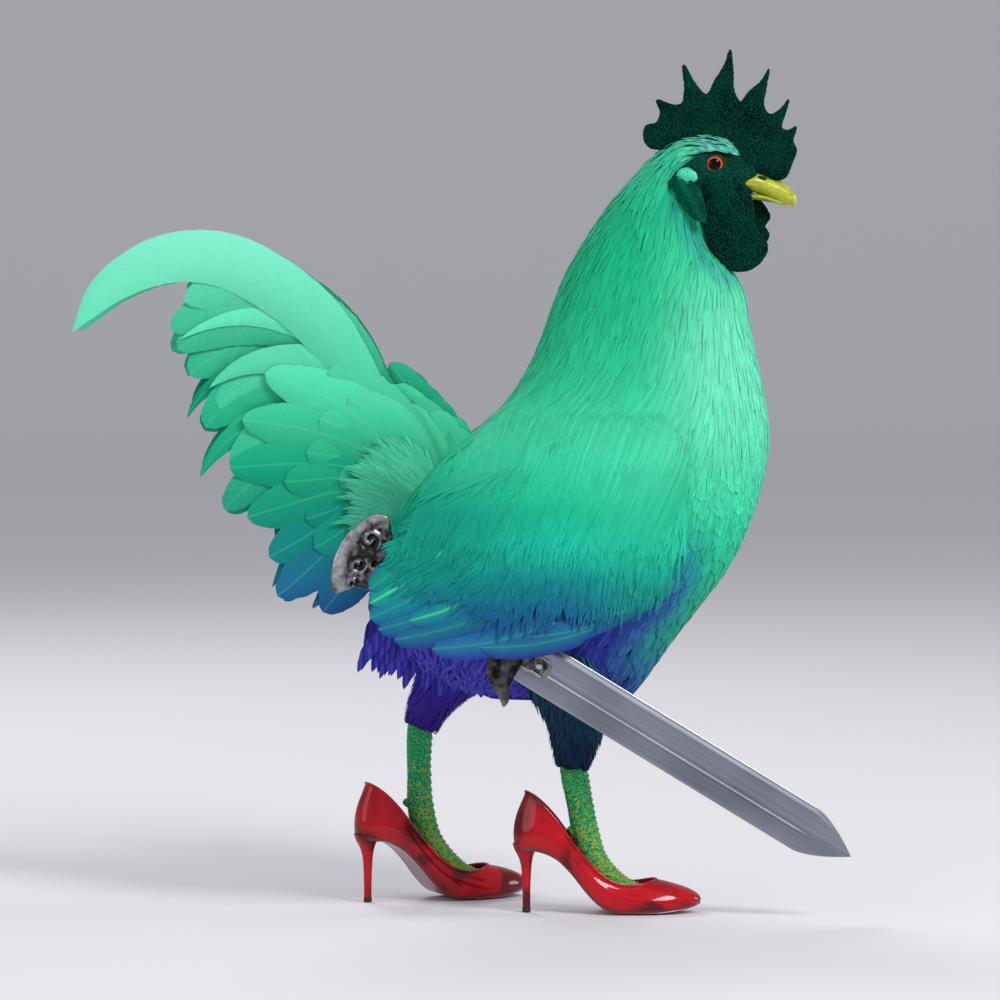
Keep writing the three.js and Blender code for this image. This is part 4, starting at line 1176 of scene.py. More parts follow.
def wing_tint(p):
    base = hermite(p[:, 2], *WING)
    x, z = p[:, 0], p[:, 2]
    rear = (1 - smoothstep(x, -20, 75)) * smoothstep(z, 212, 245) * (1 - 0.7 * smoothstep(z, 278, 312))
    base = mix(base, srgb(14, 130, 114), (0.8 * rear)[:, None])
    front = smoothstep(x, 70, 130) * smoothstep(z, 196, 214) * 0.5
    return mix(base, hermite(p[:, 2], *BREAST), front[:, None])


def build_wing(side, hand):
    sheet = Sheet(side)
    body = "wing_" + hand
    outline = rounded(WING_LINE, 90)
    centre = outline.mean(0)
    edge = outline * (1, WING_SQUEEZE) + (0, WING_RAISE)
    rings = np.linspace(0, 1, 20)[:, None, None]
    flat = centre + (edge[None] - centre) * rings
    outer, inner = (sheet.point(flat[..., 0].ravel(), flat[..., 1].ravel(), grow) for grow in (1.0, -1.4))
    count = len(outline)
    quads, n = grid_faces(20, count, closed=True), 20 * count
    faces = [list(q) for q in quads] + [list(q[::-1] + n) for q in quads]
    loop = list(range(n - count, n))
    faces += [[a, b, n + b, n + a] for a, b in zip(loop, loop[1:] + loop[:1])]
    points = np.concatenate([outer, inner])
    # Darker tint: painted shade between the wing's feathers.
    base = mesh_object("wing_base_" + hand, points, faces, body, UNDER, tint=wing_tint(points) * 0.8)
    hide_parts("wing_panel_" + hand, "wing_flight_feathers_" + hand)

    flight = Batch()
    tips, angle, length, width, shine = np.split(np.array(FLIGHT, float), (2, 3, 4, 5), axis=1)
    count, angle = len(tips), np.radians(angle)
    ahead = np.concatenate([np.cos(angle), np.sin(angle)], 1)
    rows = 30
    along = np.linspace(0, 1, rows)
    sag = 4.0 * np.sin(math.pi * along)
    back = length * (1 - along)
    x = tips[:, :1] - ahead[:, :1] * back - ahead[:, 1:] * sag
    z = tips[:, 1:] - ahead[:, 1:] * back - ahead[:, :1] * -sag
    lift = 1.8 + 0.2 * np.arange(count)[:, None] + 0.4 * along
    p, _, _, n = sheet.frame(x.ravel(), z.ravel())
    line = (p + n * lift.reshape(-1, 1)).reshape(count, rows, 3)
    up = n.reshape(count, rows, 3)
    flow = unit(np.gradient(line, axis=1))
    across = unit(np.cross(up, flow))
    for i in range(count):
        def vane_tint(p, i=i):
            """Teal along the middle, and violet-blue painted shade along the edges, where each feather lies on
            the next, so that the feathers part.
            """
            off = np.abs(np.tile(np.linspace(-1, 1, 15), len(p) // 15))
            base = mix(wing_tint(p), srgb(30, 160, 132), 0.45 * (1 - off[:, None]) * shine[i])
            # Violet-blue painted shade along each vane's edges.
            base = mix(base, srgb(44, 60, 156), (0.55 * smoothstep(off, 0.55, 1.0))[:, None])
            return mix(base, srgb(70, 214, 140), (max(shine[i, 0] - 0.8, 0) * 1.5 * (off < 0.05))[:, None])
        flight.add(line[i:i + 1], across[i:i + 1], up[i:i + 1], width[i], flight_shape, 15, 0.10, vane_tint,
                   root_shade=0.9, ragged=0.012)
    flight.object("wing_flight_vanes_" + hand, QUILLED, body)

    def covert_flow(p):
        """Steeply down in the middle of the wing, and along its edge further back."""
        rear = (1 - smoothstep(p[:, 0], -30, 60)) * (1 - 0.9 * smoothstep(p[:, 2], 278, 304))
        return flow_field(-0.28 - 0.75 * rear, -1 + 0.25 * rear)

    coverts = Batch()
    gx, gz = np.meshgrid(np.arange(62, 166, 6.4), np.arange(208, 276, 5.4))
    gx = gx + 3.5 * (np.arange(gx.shape[0]) % 2)[:, None]
    x, z = gx.ravel() + rng.normal(0, 1.0, gx.size), gz.ravel() + rng.normal(0, 1.0, gx.size)
    keep = inside(WING_LINE, x - 4, z - 9) & inside(WING_LINE, x, z) & (z < 236 + 0.3 * (x - 60)) & (x > 92)
    lay(coverts, sheet, x[keep], z[keep], covert_flow, 14, 4.8, contour_shape, steps=6, columns=7,
        lift=(2.4, 4.0), camber=0.06, tint=wing_tint, spread=0.18, root_shade=0.92)
    coverts.object("wing_coverts_" + hand, FEATHER, body)

    fine = Batch()
    gx, gz = np.meshgrid(np.arange(-62, 166, 3.3), np.arange(222, 320, 3.6))
    x, z = gx.ravel() + rng.normal(0, 1.4, gx.size), gz.ravel() + rng.normal(0, 1.4, gx.size)
    low = 217 + 0.22 * np.maximum(x - 36, 0) + 0.44 * np.maximum(36 - x, 0) + 5 * np.sin(x / 9.0)
    rear = 1 - smoothstep(x, -50, 10)
    keep = inside(WING_LINE, x - 7 * rear, z - 5 * rear) & inside(WING_LINE, x, z)
    keep &= z > low + rng.normal(0, 5, len(x))
    rear, x, z = rear[keep], x[keep], z[keep]
    strands(fine, sheet, x, z, covert_flow, mix(mix(25, 42, smoothstep(z, 228, 262)), 20, rear), 1.9, steps=8,
            lift=(3.2, 4.3), tint=wing_tint, spread=0.16)
    fine.object("wing_plumage_" + hand, FINE, body)

    scapulars = Batch()
    count = 2900
    x, z = rng.uniform(-24, 158, count), rng.uniform(302, 348, count)
    keep = (x > -22 + 1.15 * (z - 302)) & (x < 180 - 0.8 * (z - 300))
    x, z = x[keep], z[keep]
    along = np.linspace(0, 1, 9)
    length = rng.uniform(30, 62, len(x))
    zz = z[:, None] - length[:, None] * along
    xx = x[:, None] - length[:, None] * along * 0.40
    share = smoothstep(zz, 342, 312)
    close = Sheet(side, 0.0).out(xx.ravel(), zz.ravel()).reshape(zz.shape) + 1.2
    far = sheet.out(xx.ravel(), zz.ravel()).reshape(zz.shape) + 3.6
    out = mix(close, far, share) + (rng.random((len(x), 1)) + along) * 0.7
    bracket = smoothstep(np.abs(xx - SHOULDER[0]), 42, 32) * smoothstep(np.abs(zz - SHOULDER[1]), 18, 9)
    out = np.maximum(out, BRACKET_OUT * bracket)
    line = np.stack([xx, side * out, zz], -1)
    flow = unit(np.gradient(line, axis=1))
    up = square_to(np.array([0.0, side, 0.25]), flow)
    tint = lambda p: mix(body_tint(p), wing_tint(p), smoothstep(p[:, 2], 336, 290)[:, None])
    scapulars.add(line, np.cross(up, flow), up, np.full(len(x), 2.1), hackle_shape, 3, 0.2, tint,
                  root_shade=0.95)
    shoulder = scapulars.object("scapular_feathers_" + hand, FINE, None)
    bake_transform(shoulder)


# ------------------------------------------------------------------ tail
SICKLE = [(-46, 300), (-56, 328), (-70, 366), (-97, 409), (-132, 438), (-168, 454), (-207, 453), (-244, 434),
          (-269, 404)]
# The feathers under the sickle, from the outermost one in: the tip's x and z, the root's x and z, the
# direction at the root and at the tip in degrees, half the width, tone (-1 in shade, 1 pale) and whether it is
# pointed.
TAIL = [
    (-122, 360, -44, 316, 104, 226, 16, 0.8, 0),
    (-174, 364, -44, 318, 106, 224, 13, 0.5, 1),
    (-158, 307, -40, 310, 118, 238, 14.5, 0.3, 0),
    (-164, 279, -40, 304, 140, 228, 14.5, 0.15, 0),
    (-192, 424, -60, 352, 102, 205, 16, -0.5, 0),
    (-194, 398, -56, 340, 102, 214, 9, 0.1, 1),
    (-201, 404, -56, 340, 100, 214, 17, -0.6, 0),
    (-196, 390, -54, 336, 102, 222, 16, -0.55, 0),
    (-168, 350, -46, 322, 104, 232, 15, 0.2, 0),
    (-177, 336, -46, 318, 106, 238, 17, -0.4, 0),
    (-181, 301, -42, 312, 120, 246, 13, -0.2, 1),
    (-143, 273, -40, 304, 142, 236, 16, -0.3, 0),
    (-126, 255, -38, 298, 165, 232, 16, -0.2, 0),
    (-104, 246, -36, 294, 180, 236, 14, 0.0, 0),
    (-190, 342, -52, 326, 104, 250, 10, -1.0, 1),
    (-188, 372, -50, 330, 100, 228, 18, -0.5, 0),
    (-131, 224, -38, 292, 178, 240, 11, -0.1, 1),
    (-122, 219, -38, 290, 186, 238, 11, -0.3, 0),
    (-103, 209, -36, 286, 195, 228, 11, 0.0, 1),
    (-112, 232, -36, 290, 190, 236, 15, -0.4, 0),
    (-150, 330, -46, 316, 112, 240, 18, -0.6, 0),
    (-86, 206, -34, 282, 210, 255, 9, -0.9, 1),
    (-84, 222, -34, 284, 205, 240, 14, -0.4, 0),
    (-140, 290, -42, 300, 140, 238, 18, -0.7, 0),
]
# The coverts at the tail's front edge, from the innermost out: the tip's x and z, how far out, and the tone.
TAIL_FRONT = [
    (-49, 381, 3.5, -0.8), (-36, 369, 4.0, -0.8), (-22, 355, 4.5, -0.7), (-46, 366, 7.0, 0.1),
    (-10, 342, 7.5, 0.0), (-32, 356, 9.0, 0.3), (-20, 347, 10.0, 0.3), (-42, 352, 11.0, 0.45),
    (-6, 334, 11.5, 0.3),
]
TAIL_HUB = np.array([-12.0, 270.0])
# Layers of coverts over the tail's root: how many, their length as a share of the longest, how far out, and
# half the width. Their length and tone change with the direction that they point in.
TAIL_LAYERS = [(8, 1.12, 12.2, 20), (8, 0.84, 13.9, 19), (7, 0.58, 15.6, 17)]
COVERT_LENGTH = (104, 120, 160, 206), (126, 138, 124, 96)
COVERT_TONE = (104, 130, 170, 206), (0.45, 0.1, -0.15, -0.3)


def build_tail():
    for side, hand in SIDES:
        plumes = Batch()
        for i, (x, z, root_x, root_z, start, end, width, tone, point) in enumerate(TAIL):
            tip = np.array([x, z]) + (rng.normal(0, 4, 2) if side > 0 else 0)
            line = arc_line((root_x, root_z), tip, start, end, 60)
            add_plume(plumes, line, side, 11.4 - 0.38 * i, width, toned(tone),
                      pointed_shape if point else flight_shape, bend=rng.uniform(-0.5, 1.5), camber=0.10)
        fan = plumes.object("tail_plumes_" + hand, FEATHER, None)
        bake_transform(fan)
        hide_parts("tail_fan_" + hand)

        sickles = Batch()
        line = hermite(np.linspace(0, 1, 90), np.linspace(0, 1, len(SICKLE)), SICKLE)
        if side > 0:
            line = line * (0.995, 1) + (2, -1)
        broad = lambda t: hermite(t, (0, 0.25, 0.5, 0.7, 0.84, 0.93, 1), (0.4, 0.85, 1, 0.92, 0.7, 0.42, 0.03))
        add_plume(sickles, line, side, 12.2, 19.5 if side < 0 else 18.5, toned(0.35), broad, bend=1.0,
                  columns=23, ragged=0.006, camber=0.10)
        sickle = sickles.object("sickle_vanes_" + hand, SMOOTH, "tail")
        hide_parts("sickle_feather_" + hand)

        coverts = Batch()
        for x, z, y, tone in TAIL_FRONT:
            line = arc_line((-14, 284), (x, z), 92, 132, 30)
            add_plume(coverts, line, side, y, 12.5, toned(tone), columns=11, flare=7.0)
        for layer, (count, scale, stand, width) in enumerate(TAIL_LAYERS):
            for turn in np.linspace(104, 206, count):
                length = np.interp(turn, *COVERT_LENGTH) * scale * rng.uniform(0.92, 1.08)
                bend = mix(46, 22, (turn - 104) / 102)
                aim = math.radians(turn + bend * 0.5)
                tip = TAIL_HUB + length * np.array([math.cos(aim), math.sin(aim)])
                tone = np.interp(turn, *COVERT_TONE) + rng.uniform(-0.15, 0.15)
                line = arc_line(TAIL_HUB + (-14, 16), tip, turn, turn + bend, 56)
                add_plume(coverts, line, side, stand + rng.uniform(0, 0.4), width, toned(tone), contour_shape,
                          columns=11, camber=0.06, flare=8.0 - 1.5 * layer)
        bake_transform(coverts.object("tail_coverts_" + hand, SMOOTH, None))
        hackles = Batch()
        count = 1700
        reach, turn = rng.uniform(12, 46, count), rng.uniform(96, 206, count)
        bend = mix(46, 22, (turn - 96) / 110)
        keep = reach < np.interp(turn, (96, 120, 160, 206), (30, 44, 38, 30)) * rng.uniform(0.5, 1, count)
        reach, turn, bend = reach[keep][:, None], turn[keep][:, None], bend[keep][:, None]
        along = np.linspace(0, 1, 8)
        far = reach + rng.uniform(28, 44, reach.shape) * along
        aim = np.radians(turn + bend * 0.5 * (far / 100) + 4 * rng.standard_normal(turn.shape) * along)
        x, z = TAIL_HUB[0] + far * np.cos(aim), TAIL_HUB[1] + far * np.sin(aim)
        hump = 6.6 * np.exp(-(np.hypot(x + 38, z - 300) / 26) ** 2)
        stand = 16.6 + hump + 0.8 * along + rng.uniform(0, 0.8, turn.shape)
        strand = np.stack([x, side * stand, z], -1)
        flow = unit(np.gradient(strand, axis=1))
        up = square_to(np.array([0.0, side, 0.0]), flow)
        hackles.add(strand, np.cross(up, flow), up, rng.uniform(2.4, 3.6, len(strand)), hackle_shape, 3, 0.05,
                    toned(0.6), root_shade=1.1)
        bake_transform(hackles.object("tail_hackles_" + hand, FINE, None))
    knob = Form([(-1, -36, 0, 268, 12, 10), (0, -38, 0, 278, 23, 19), (1, -42, 0, 300, 26, 20),
                 (2, -46, 0, 322, 22, 14), (3, -50, 0, 336, 11, 6)])
    points, faces = knob.skin(30, 40)
    # Darker tint: painted shade under the tail's root hackles.
    root = mesh_object("tail_root_base", points, faces, "tail", UNDER, tint=toned(0.4)(points) * 0.8)
    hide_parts("tail_block")
    hackles = Batch()
    t, a = knob.roots(3.6, 3.4)
    away = lambda p: flow_field(p[:, 0] - TAIL_HUB[0], p[:, 2] - TAIL_HUB[1])
    strands(hackles, knob, t, a, away, 26, 2.2, lift=(0.6, 2.2), tint=toned(0.45), spread=0.25)
    hackles.object("tail_root_hackles", FINE, "tail")


# ------------------------------------------------------------------ legs
THIGH = {
    "right": [(0, 58, -36, 204, 26, 17), (1, 71, -37, 168, 25, 18), (2, 81, -38, 139, 20.5, 16.5),
              (3, 80.5, -38, 118, 14.5, 13.5), (4, 78.5, -38, 101, 9.2, 9.2)],
    "left": [(0, 44, 36, 208, 26, 17), (1, 14, 36, 178, 23, 18), (2, -8, 36, 158, 19, 16),
             (3, -21, 37, 139, 13.5, 12.5), (4, -27.5, 37, 122, 9.4, 9.2)],
}
SHANK = {
    "right": [(0, 77, -38, 118, 8.4, 7.6), (1, 80.6, -38, 95, 9.4, 8), (2, 84.4, -38, 75, 8.9, 7.6),
              (3, 88, -38, 56, 9.2, 7.8), (4, 94, -38, 36, 9.4, 9.2), (5, 105, -38, 22, 9.4, 11),
              (6, 119, -38, 14.5, 7.4, 13), (7, 134, -38, 12, 5.4, 13)],
    "left": [(0, -26, 37, 138, 8.4, 7.6), (1, -28.2, 37, 116, 8.8, 7.8), (2, -28.6, 37.5, 92, 8.2, 7.4),
             (3, -27.6, 38, 66, 9.0, 7.8), (4, -22, 38.5, 42, 9.6, 9.4), (5, -9, 43, 24, 9.4, 11),
             (6, 5, 49, 15, 7.4, 12), (7, 19, 55, 12, 5.4, 12)],
}


def leg_material():
    s = Shader("leg_scales", roughness=0.42, specular_ior_level=0.3)
    bend = s.place((1, 1, 1.6))
    cells = s.cells(560, vector=bend)
    edge = s.cells(560, "DISTANCE_TO_EDGE", vector=bend)
    height = s.node("SeparateXYZ")
    s.link(s.node("TexCoord").outputs["Object"], height.inputs[0])
    low = s.math("SUBTRACT", 1.0, s.math("MULTIPLY", height.outputs[2], 9.0))
    yellow = s.math("GREATER_THAN", s.math("ADD", s.noise(420, 2), s.math("MULTIPLY", low, 0.2)), 0.62)
    green = s.ramp(cells, (0.2, srgb(36, 204, 118)), (0.8, srgb(12, 146, 92)))
    skin = s.blend(s.math("MULTIPLY", yellow, 0.85), green, srgb(180, 190, 40))
    s.colour(s.blend(s.math("MULTIPLY", s.math("LESS_THAN", edge, 0.10), 0.6), skin, srgb(4, 56, 42)))
    s.bump(s.math("MINIMUM", edge, 0.3), 1.0, 1.4)
    return s.mat


def thigh_tint(side):
    """The near thigh is teal in the light, and the far one violet."""
    shades = [(12, 28, 48), (18, 46, 66), (26, 66, 92), (30, 96, 124)] if side < 0 else \
        [(30, 22, 70), (50, 30, 118), (58, 44, 150), (48, 60, 150)]
    ladder_z, ladder_colour = ladder(*zip((95, 120, 150, 190), shades))

    def tint(p):
        base = hermite(p[:, 2], ladder_z, ladder_colour)
        patch = (0.12 if side < 0 else 0.35) * smoothstep(np.sin(p[:, 0] * 0.5 + p[:, 2] * 0.35), 0, 1)
        return mix(base, srgb(52, 40, 138), patch[:, None])
    return tint


def build_legs():
    scales = leg_material()
    for side, hand in SIDES:
        body = "leg_" + hand
        thigh = Form(THIGH[hand], level=False)
        tint = thigh_tint(side)
        points, faces = thigh.skin(40, 40, grow=-1.5)
        # Darker tint: painted shade between the thigh's feathers.
        base = mesh_object("thigh_base_" + hand, points, faces, body, UNDER, tint=tint(points) * 0.6)
        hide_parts("thigh_" + hand)
        down = Batch()
        for grow, gap, length in ((0.0, 3.6, 13), (1.0, 4.4, 14)):
            t, a = thigh.roots(gap, gap, 0.6, 3.5)
            flow = lambda p: np.broadcast_to(unit(thigh.centre[-1] - thigh.centre[1]), p.shape)
            lay(down, thigh, t, a, flow, length, 2.1, hackle_shape, steps=5, lift=(grow, grow + 2.6),
                tint=tint, spread=0.2, root_shade=0.85)
        down.object("thigh_feathers_" + hand, FINE, body)

        shank = Form(SHANK[hand], level=False)
        rows, sides = 330, 84
        points, faces = shank.skin(rows, sides)
        a = np.tile(np.linspace(0, 2 * math.pi, sides, endpoint=False), rows)
        t = np.repeat(np.linspace(0, 7, rows), sides)
        front = smoothstep(np.cos(a) * (1 if shank.axes(np.array([2.0]))[0][0, 0] > 0 else -1), 0.25, 0.7)
        scute = ((t * 4.6) % 1.0) ** 1.6
        rise = front * (scute * 1.1 - 0.4) + (1 - front) * (pebbles(points, 3.4) - 0.5) * 0.9
        centre = hermite(t, shank.t, shank.centre)
        points = points + unit(points - centre) * rise[:, None]
        leg = mesh_object("shank_scales_" + hand, points, faces, body, scales)
        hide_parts("shank_" + hand, "foot_" + hand)
        spur_at = shank.point(np.array([2.9]), np.array([0.0]))[0] + (1.0, 0, 0)
        points, faces = ellipsoid(spur_at, (5.0, 4.2, 3.4), 0.5, 30, 40)
        points = points + (pebbles(points, 2.0)[:, None] - 0.5) * (0.6, 0, 0.6)
        mesh_object("spur_" + hand, points, faces, body, scales)


# ------------------------------------------------------------------ shoes
FOOT = {"right": (91.3, -38.0, 0.0), "left": (-23.7, 38.0, math.radians(22))}
SOLE_LINE = [(-53, -47, -38, -24, -13, -3, 7, 17, 30, 44, 56, 68, 77),
             (48, 46, 45.5, 40, 29.5, 17, 7.2, 3.6, 3, 3, 3.8, 5.8, 8.4)]
TOP_LINE = [(-45, -38, -24.7, -14, -4.4, 5.4, 15.2, 24.4, 34, 42, 46),
            (84, 79.5, 66, 51.5, 39.5, 29, 22.6, 19.8, 20.2, 22, 22.8)]


def place(points, hand):
    """Turns points from a shoe's own frame to where that shoe stands."""
    x, y, yaw = FOOT[hand]
    c, s = math.cos(yaw), math.sin(yaw)
    p = np.asarray(points, float)
    return np.stack([x + p[:, 0] * c - p[:, 1] * s, y + p[:, 0] * s + p[:, 1] * c, p[:, 2]], -1)


def footprint(s):
    """The edge of the sole, from the toe (0) to the back of the heel (1), as x, half width, z."""
    x = 12 + 65 * np.cos(math.pi * s)
    w = np.sin(math.pi * s) ** 0.75 * hermite(
        s, (0, 0.1, 0.2, 0.37, 0.5, 0.6, 0.7, 0.8, 0.9, 1), (13, 16, 19.5, 22, 20, 17.6, 17, 18, 20, 21))
    return x, w, hermite(x, *SOLE_LINE)


def topline(s):
    """The edge of the shoe's opening, in the same way."""
    x = 0.5 + 45.5 * np.cos(math.pi * s)
    w = np.sin(math.pi * s) ** 0.7 * hermite(s, (0, 0.2, 0.4, 0.6, 0.8, 1), (15, 18.5, 17.5, 15, 13.5, 14))
    return x, w, hermite(x, *TOP_LINE)


def shoe_materials():
    red = Shader("red_patent", roughness=0.3, coat_weight=0.6, coat_roughness=0.03, specular_ior_level=0.05)
    # Painted reflections: noise streaks of dark red between brighter reds stand in for dark surroundings
    # mirrored in the patent leather.
    shades = (0.40, srgb(92, 0, 10)), (0.52, srgb(168, 0, 20)), (0.7, srgb(196, 4, 26))
    red.colour(red.ramp(red.noise(24, 2, distortion=1.4), *shades))
    red.bump(red.noise(55, 2), 0.05, 0.7)
    lining = Shader("shoe_lining", base_color=(*srgb(70, 30, 32), 1), roughness=0.6)
    lining.bump(lining.noise(900, 3), 0.3, 0.15)
    sole = Shader("shoe_sole_leather", base_color=(*srgb(104, 8, 26), 1), roughness=0.3, coat_weight=0.5)
    sole.bump(sole.noise(500, 4), 0.15, 0.2)
    tip = Shader("heel_tip_rubber", base_color=(*srgb(34, 26, 28), 1), roughness=0.6)
    tip.bump(tip.noise(900, 3), 0.3, 0.15)
    return red.mat, lining.mat, sole.mat, tip.mat


def build_shoes():
    red, lining, sole_mat, tip_mat = shoe_materials()
    rows, half = 26, 72
    s = np.concatenate([np.linspace(0, 1, half + 1), np.linspace(1, 0, half + 1)[1:-1]])
    hand_of = np.concatenate([np.ones(half + 1), -np.ones(half - 1)])
    bx, bw, bz = footprint(s)
    tx, tw, tz = topline(s)
    bottom = np.stack([bx, bw * hand_of, bz], -1)
    top = np.stack([tx, tw * hand_of, tz], -1)
    h = np.linalg.norm(top - bottom, axis=1, keepdims=True)
    toe = 1 - smoothstep(s, 0.10, 0.42)[:, None]
    heel = smoothstep(s, 0.72, 1.0)[:, None]
    outward = unit(np.stack([np.zeros_like(s), hand_of * np.sin(math.pi * s), np.zeros_like(s)], -1) + 1e-9)
    rising = np.array([0.0, 0, 1.0])
    p1 = bottom + outward * 2.2 * (1 - heel) + rising * mix(0.42 * h, 5.0, toe) + np.array([-2.2, 0, 0]) * heel
    forward = np.stack([np.full_like(s, 13.0), hand_of * 4 * np.sin(math.pi * s), np.full_like(s, -2.0)], -1)
    aside = outward * 1.6 * (1 - heel) - rising * 0.34 * h + np.array([-5.0, 0, 0]) * heel
    p2 = top + mix(aside, forward, toe)
    v = np.linspace(0, 1, rows)[:, None, None]
    upper = (1 - v)**3 * bottom + 3 * v * (1 - v)**2 * p1 + 3 * v**2 * (1 - v) * p2 + v**3 * top
    count = len(s)
    for hand in ("right", "left"):
        body = "shoe_" + hand
        faces = [list(q) for q in grid_faces(rows, count, closed=True)]
        shoe = mesh_object("pump_upper_" + hand, place(upper.reshape(-1, 3), hand), faces, None, red)
        shoe.data.materials.append(lining)
        applied(shoe, ("SOLIDIFY", {"thickness": 1.5 * MM, "offset": -1, "material_offset": 1}))
        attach(shoe, body)
        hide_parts("shoe_upper_" + hand)
        points, tube = tube_mesh(place(top, hand), 0.95, 12, closed=True)
        mesh_object("topline_binding_" + hand, points, tube, body, red)
        across = np.linspace(-1, 1, 15)
        line = np.linspace(0, 1, 90)
        fx, fw, fz = footprint(line)
        plates = ("pump_sole_", 0.4, -2.3, 0.3, sole_mat), ("insole_", 1.6, 0.4, 1.6, lining)
        for name, inset, low, high, mat in plates:
            w = np.maximum(fw - inset, 0.3)
            x = fx + np.where(fx > 12, -inset, inset) * (np.abs(fx - 12) / 65) ** 6
            layer = lambda rise, k: grid_points(x[:, None], w[:, None] * across * k, fz[:, None] + rise)
            stack = np.concatenate([layer(low, 0.965), layer(high, 1.0)])
            plate = mesh_object(name + hand, place(stack, hand), plate_faces(90, 15, True), body, mat)
            if inset < 1:
                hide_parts("shoe_sole_" + hand)
        heel_rows = np.array([
            (2.6, -44.4, 2.7, 2.7), (14, -44.4, 2.8, 2.8), (25, -44.4, 3.2, 3.2), (33, -44.5, 3.9, 4.2),
            (39, -44.9, 5.4, 6.2), (43.5, -45.3, 7.4, 8.6), (48, -45.8, 8.4, 10.2)])
        z = np.linspace(2.6, 48, 60)
        hx, long, wide = hermite(z, heel_rows[:, 0], heel_rows[:, 1:]).T
        a = np.linspace(0, 2 * math.pi, 40, endpoint=False)
        points = grid_points(hx[:, None] + long[:, None] * np.cos(a), wide[:, None] * np.sin(a), z[:, None])
        stiletto = mesh_object("stiletto_" + hand, place(points, hand), capped_tube(60, 40), body, red)
        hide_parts("shoe_heel_" + hand)
        points, faces = tube_mesh([(-44.4, 0, 0), (-44.4, 0, 0.4), (-44.4, 0, 2.7)], [2.7, 2.95, 2.95], 32)
        tip = mesh_object("heel_tip_rubber_" + hand, place(points, hand), faces, body, tip_mat)
        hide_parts("heel_tip_" + hand)


# ------------------------------------------------------------------ sword
SWORD_AT, SWORD_Y, SLOPE = (37.1, 186.0), -80.0, math.radians(31.5)


def sword_place(p):
    """Turns points from the sword's own frame, with the blade along +x, to where it is held."""
    p = np.asarray(p, float)
    c, s = math.cos(SLOPE), math.sin(SLOPE)
    x, z = SWORD_AT
    return np.stack([x + p[:, 0] * c + p[:, 2] * s, SWORD_Y + p[:, 1], z - p[:, 0] * s + p[:, 2] * c], -1)


def metal(name, dark, light, roughness, patches=60, brushed=(1, 1, 1), wear=0.5, relief_and_highlight=None,
          span=(0.36, 0.66), own=None):
    """Brushed or cast metal. relief_and_highlight is a point attribute of painted highlight and shade: it
    brightens what stands up and the edges that catch the light, and darkens hollows. own is one that holds the
    piece's own coordinates, so that the brushing follows it."""
    s = Shader(name, metallic=1.0, roughness=roughness)
    lines = s.noise(260, 3, s.place(brushed, own))
    mottle = s.math("ADD", s.math("MULTIPLY", s.noise(patches, 5), wear), s.math("MULTIPLY", lines, 1 - wear))
    if relief_and_highlight:
        mottle = s.math("ADD", mottle, s.math("MULTIPLY", s.attribute(relief_and_highlight).outputs["Fac"], 0.16))
    s.colour(s.ramp(mottle, (span[0], dark), (span[1], light)))
    s.roughness(s.math("MULTIPLY_ADD", lines, 0.2, roughness - 0.1))
    s.bump(lines, 0.06, 0.12)
    return s.mat


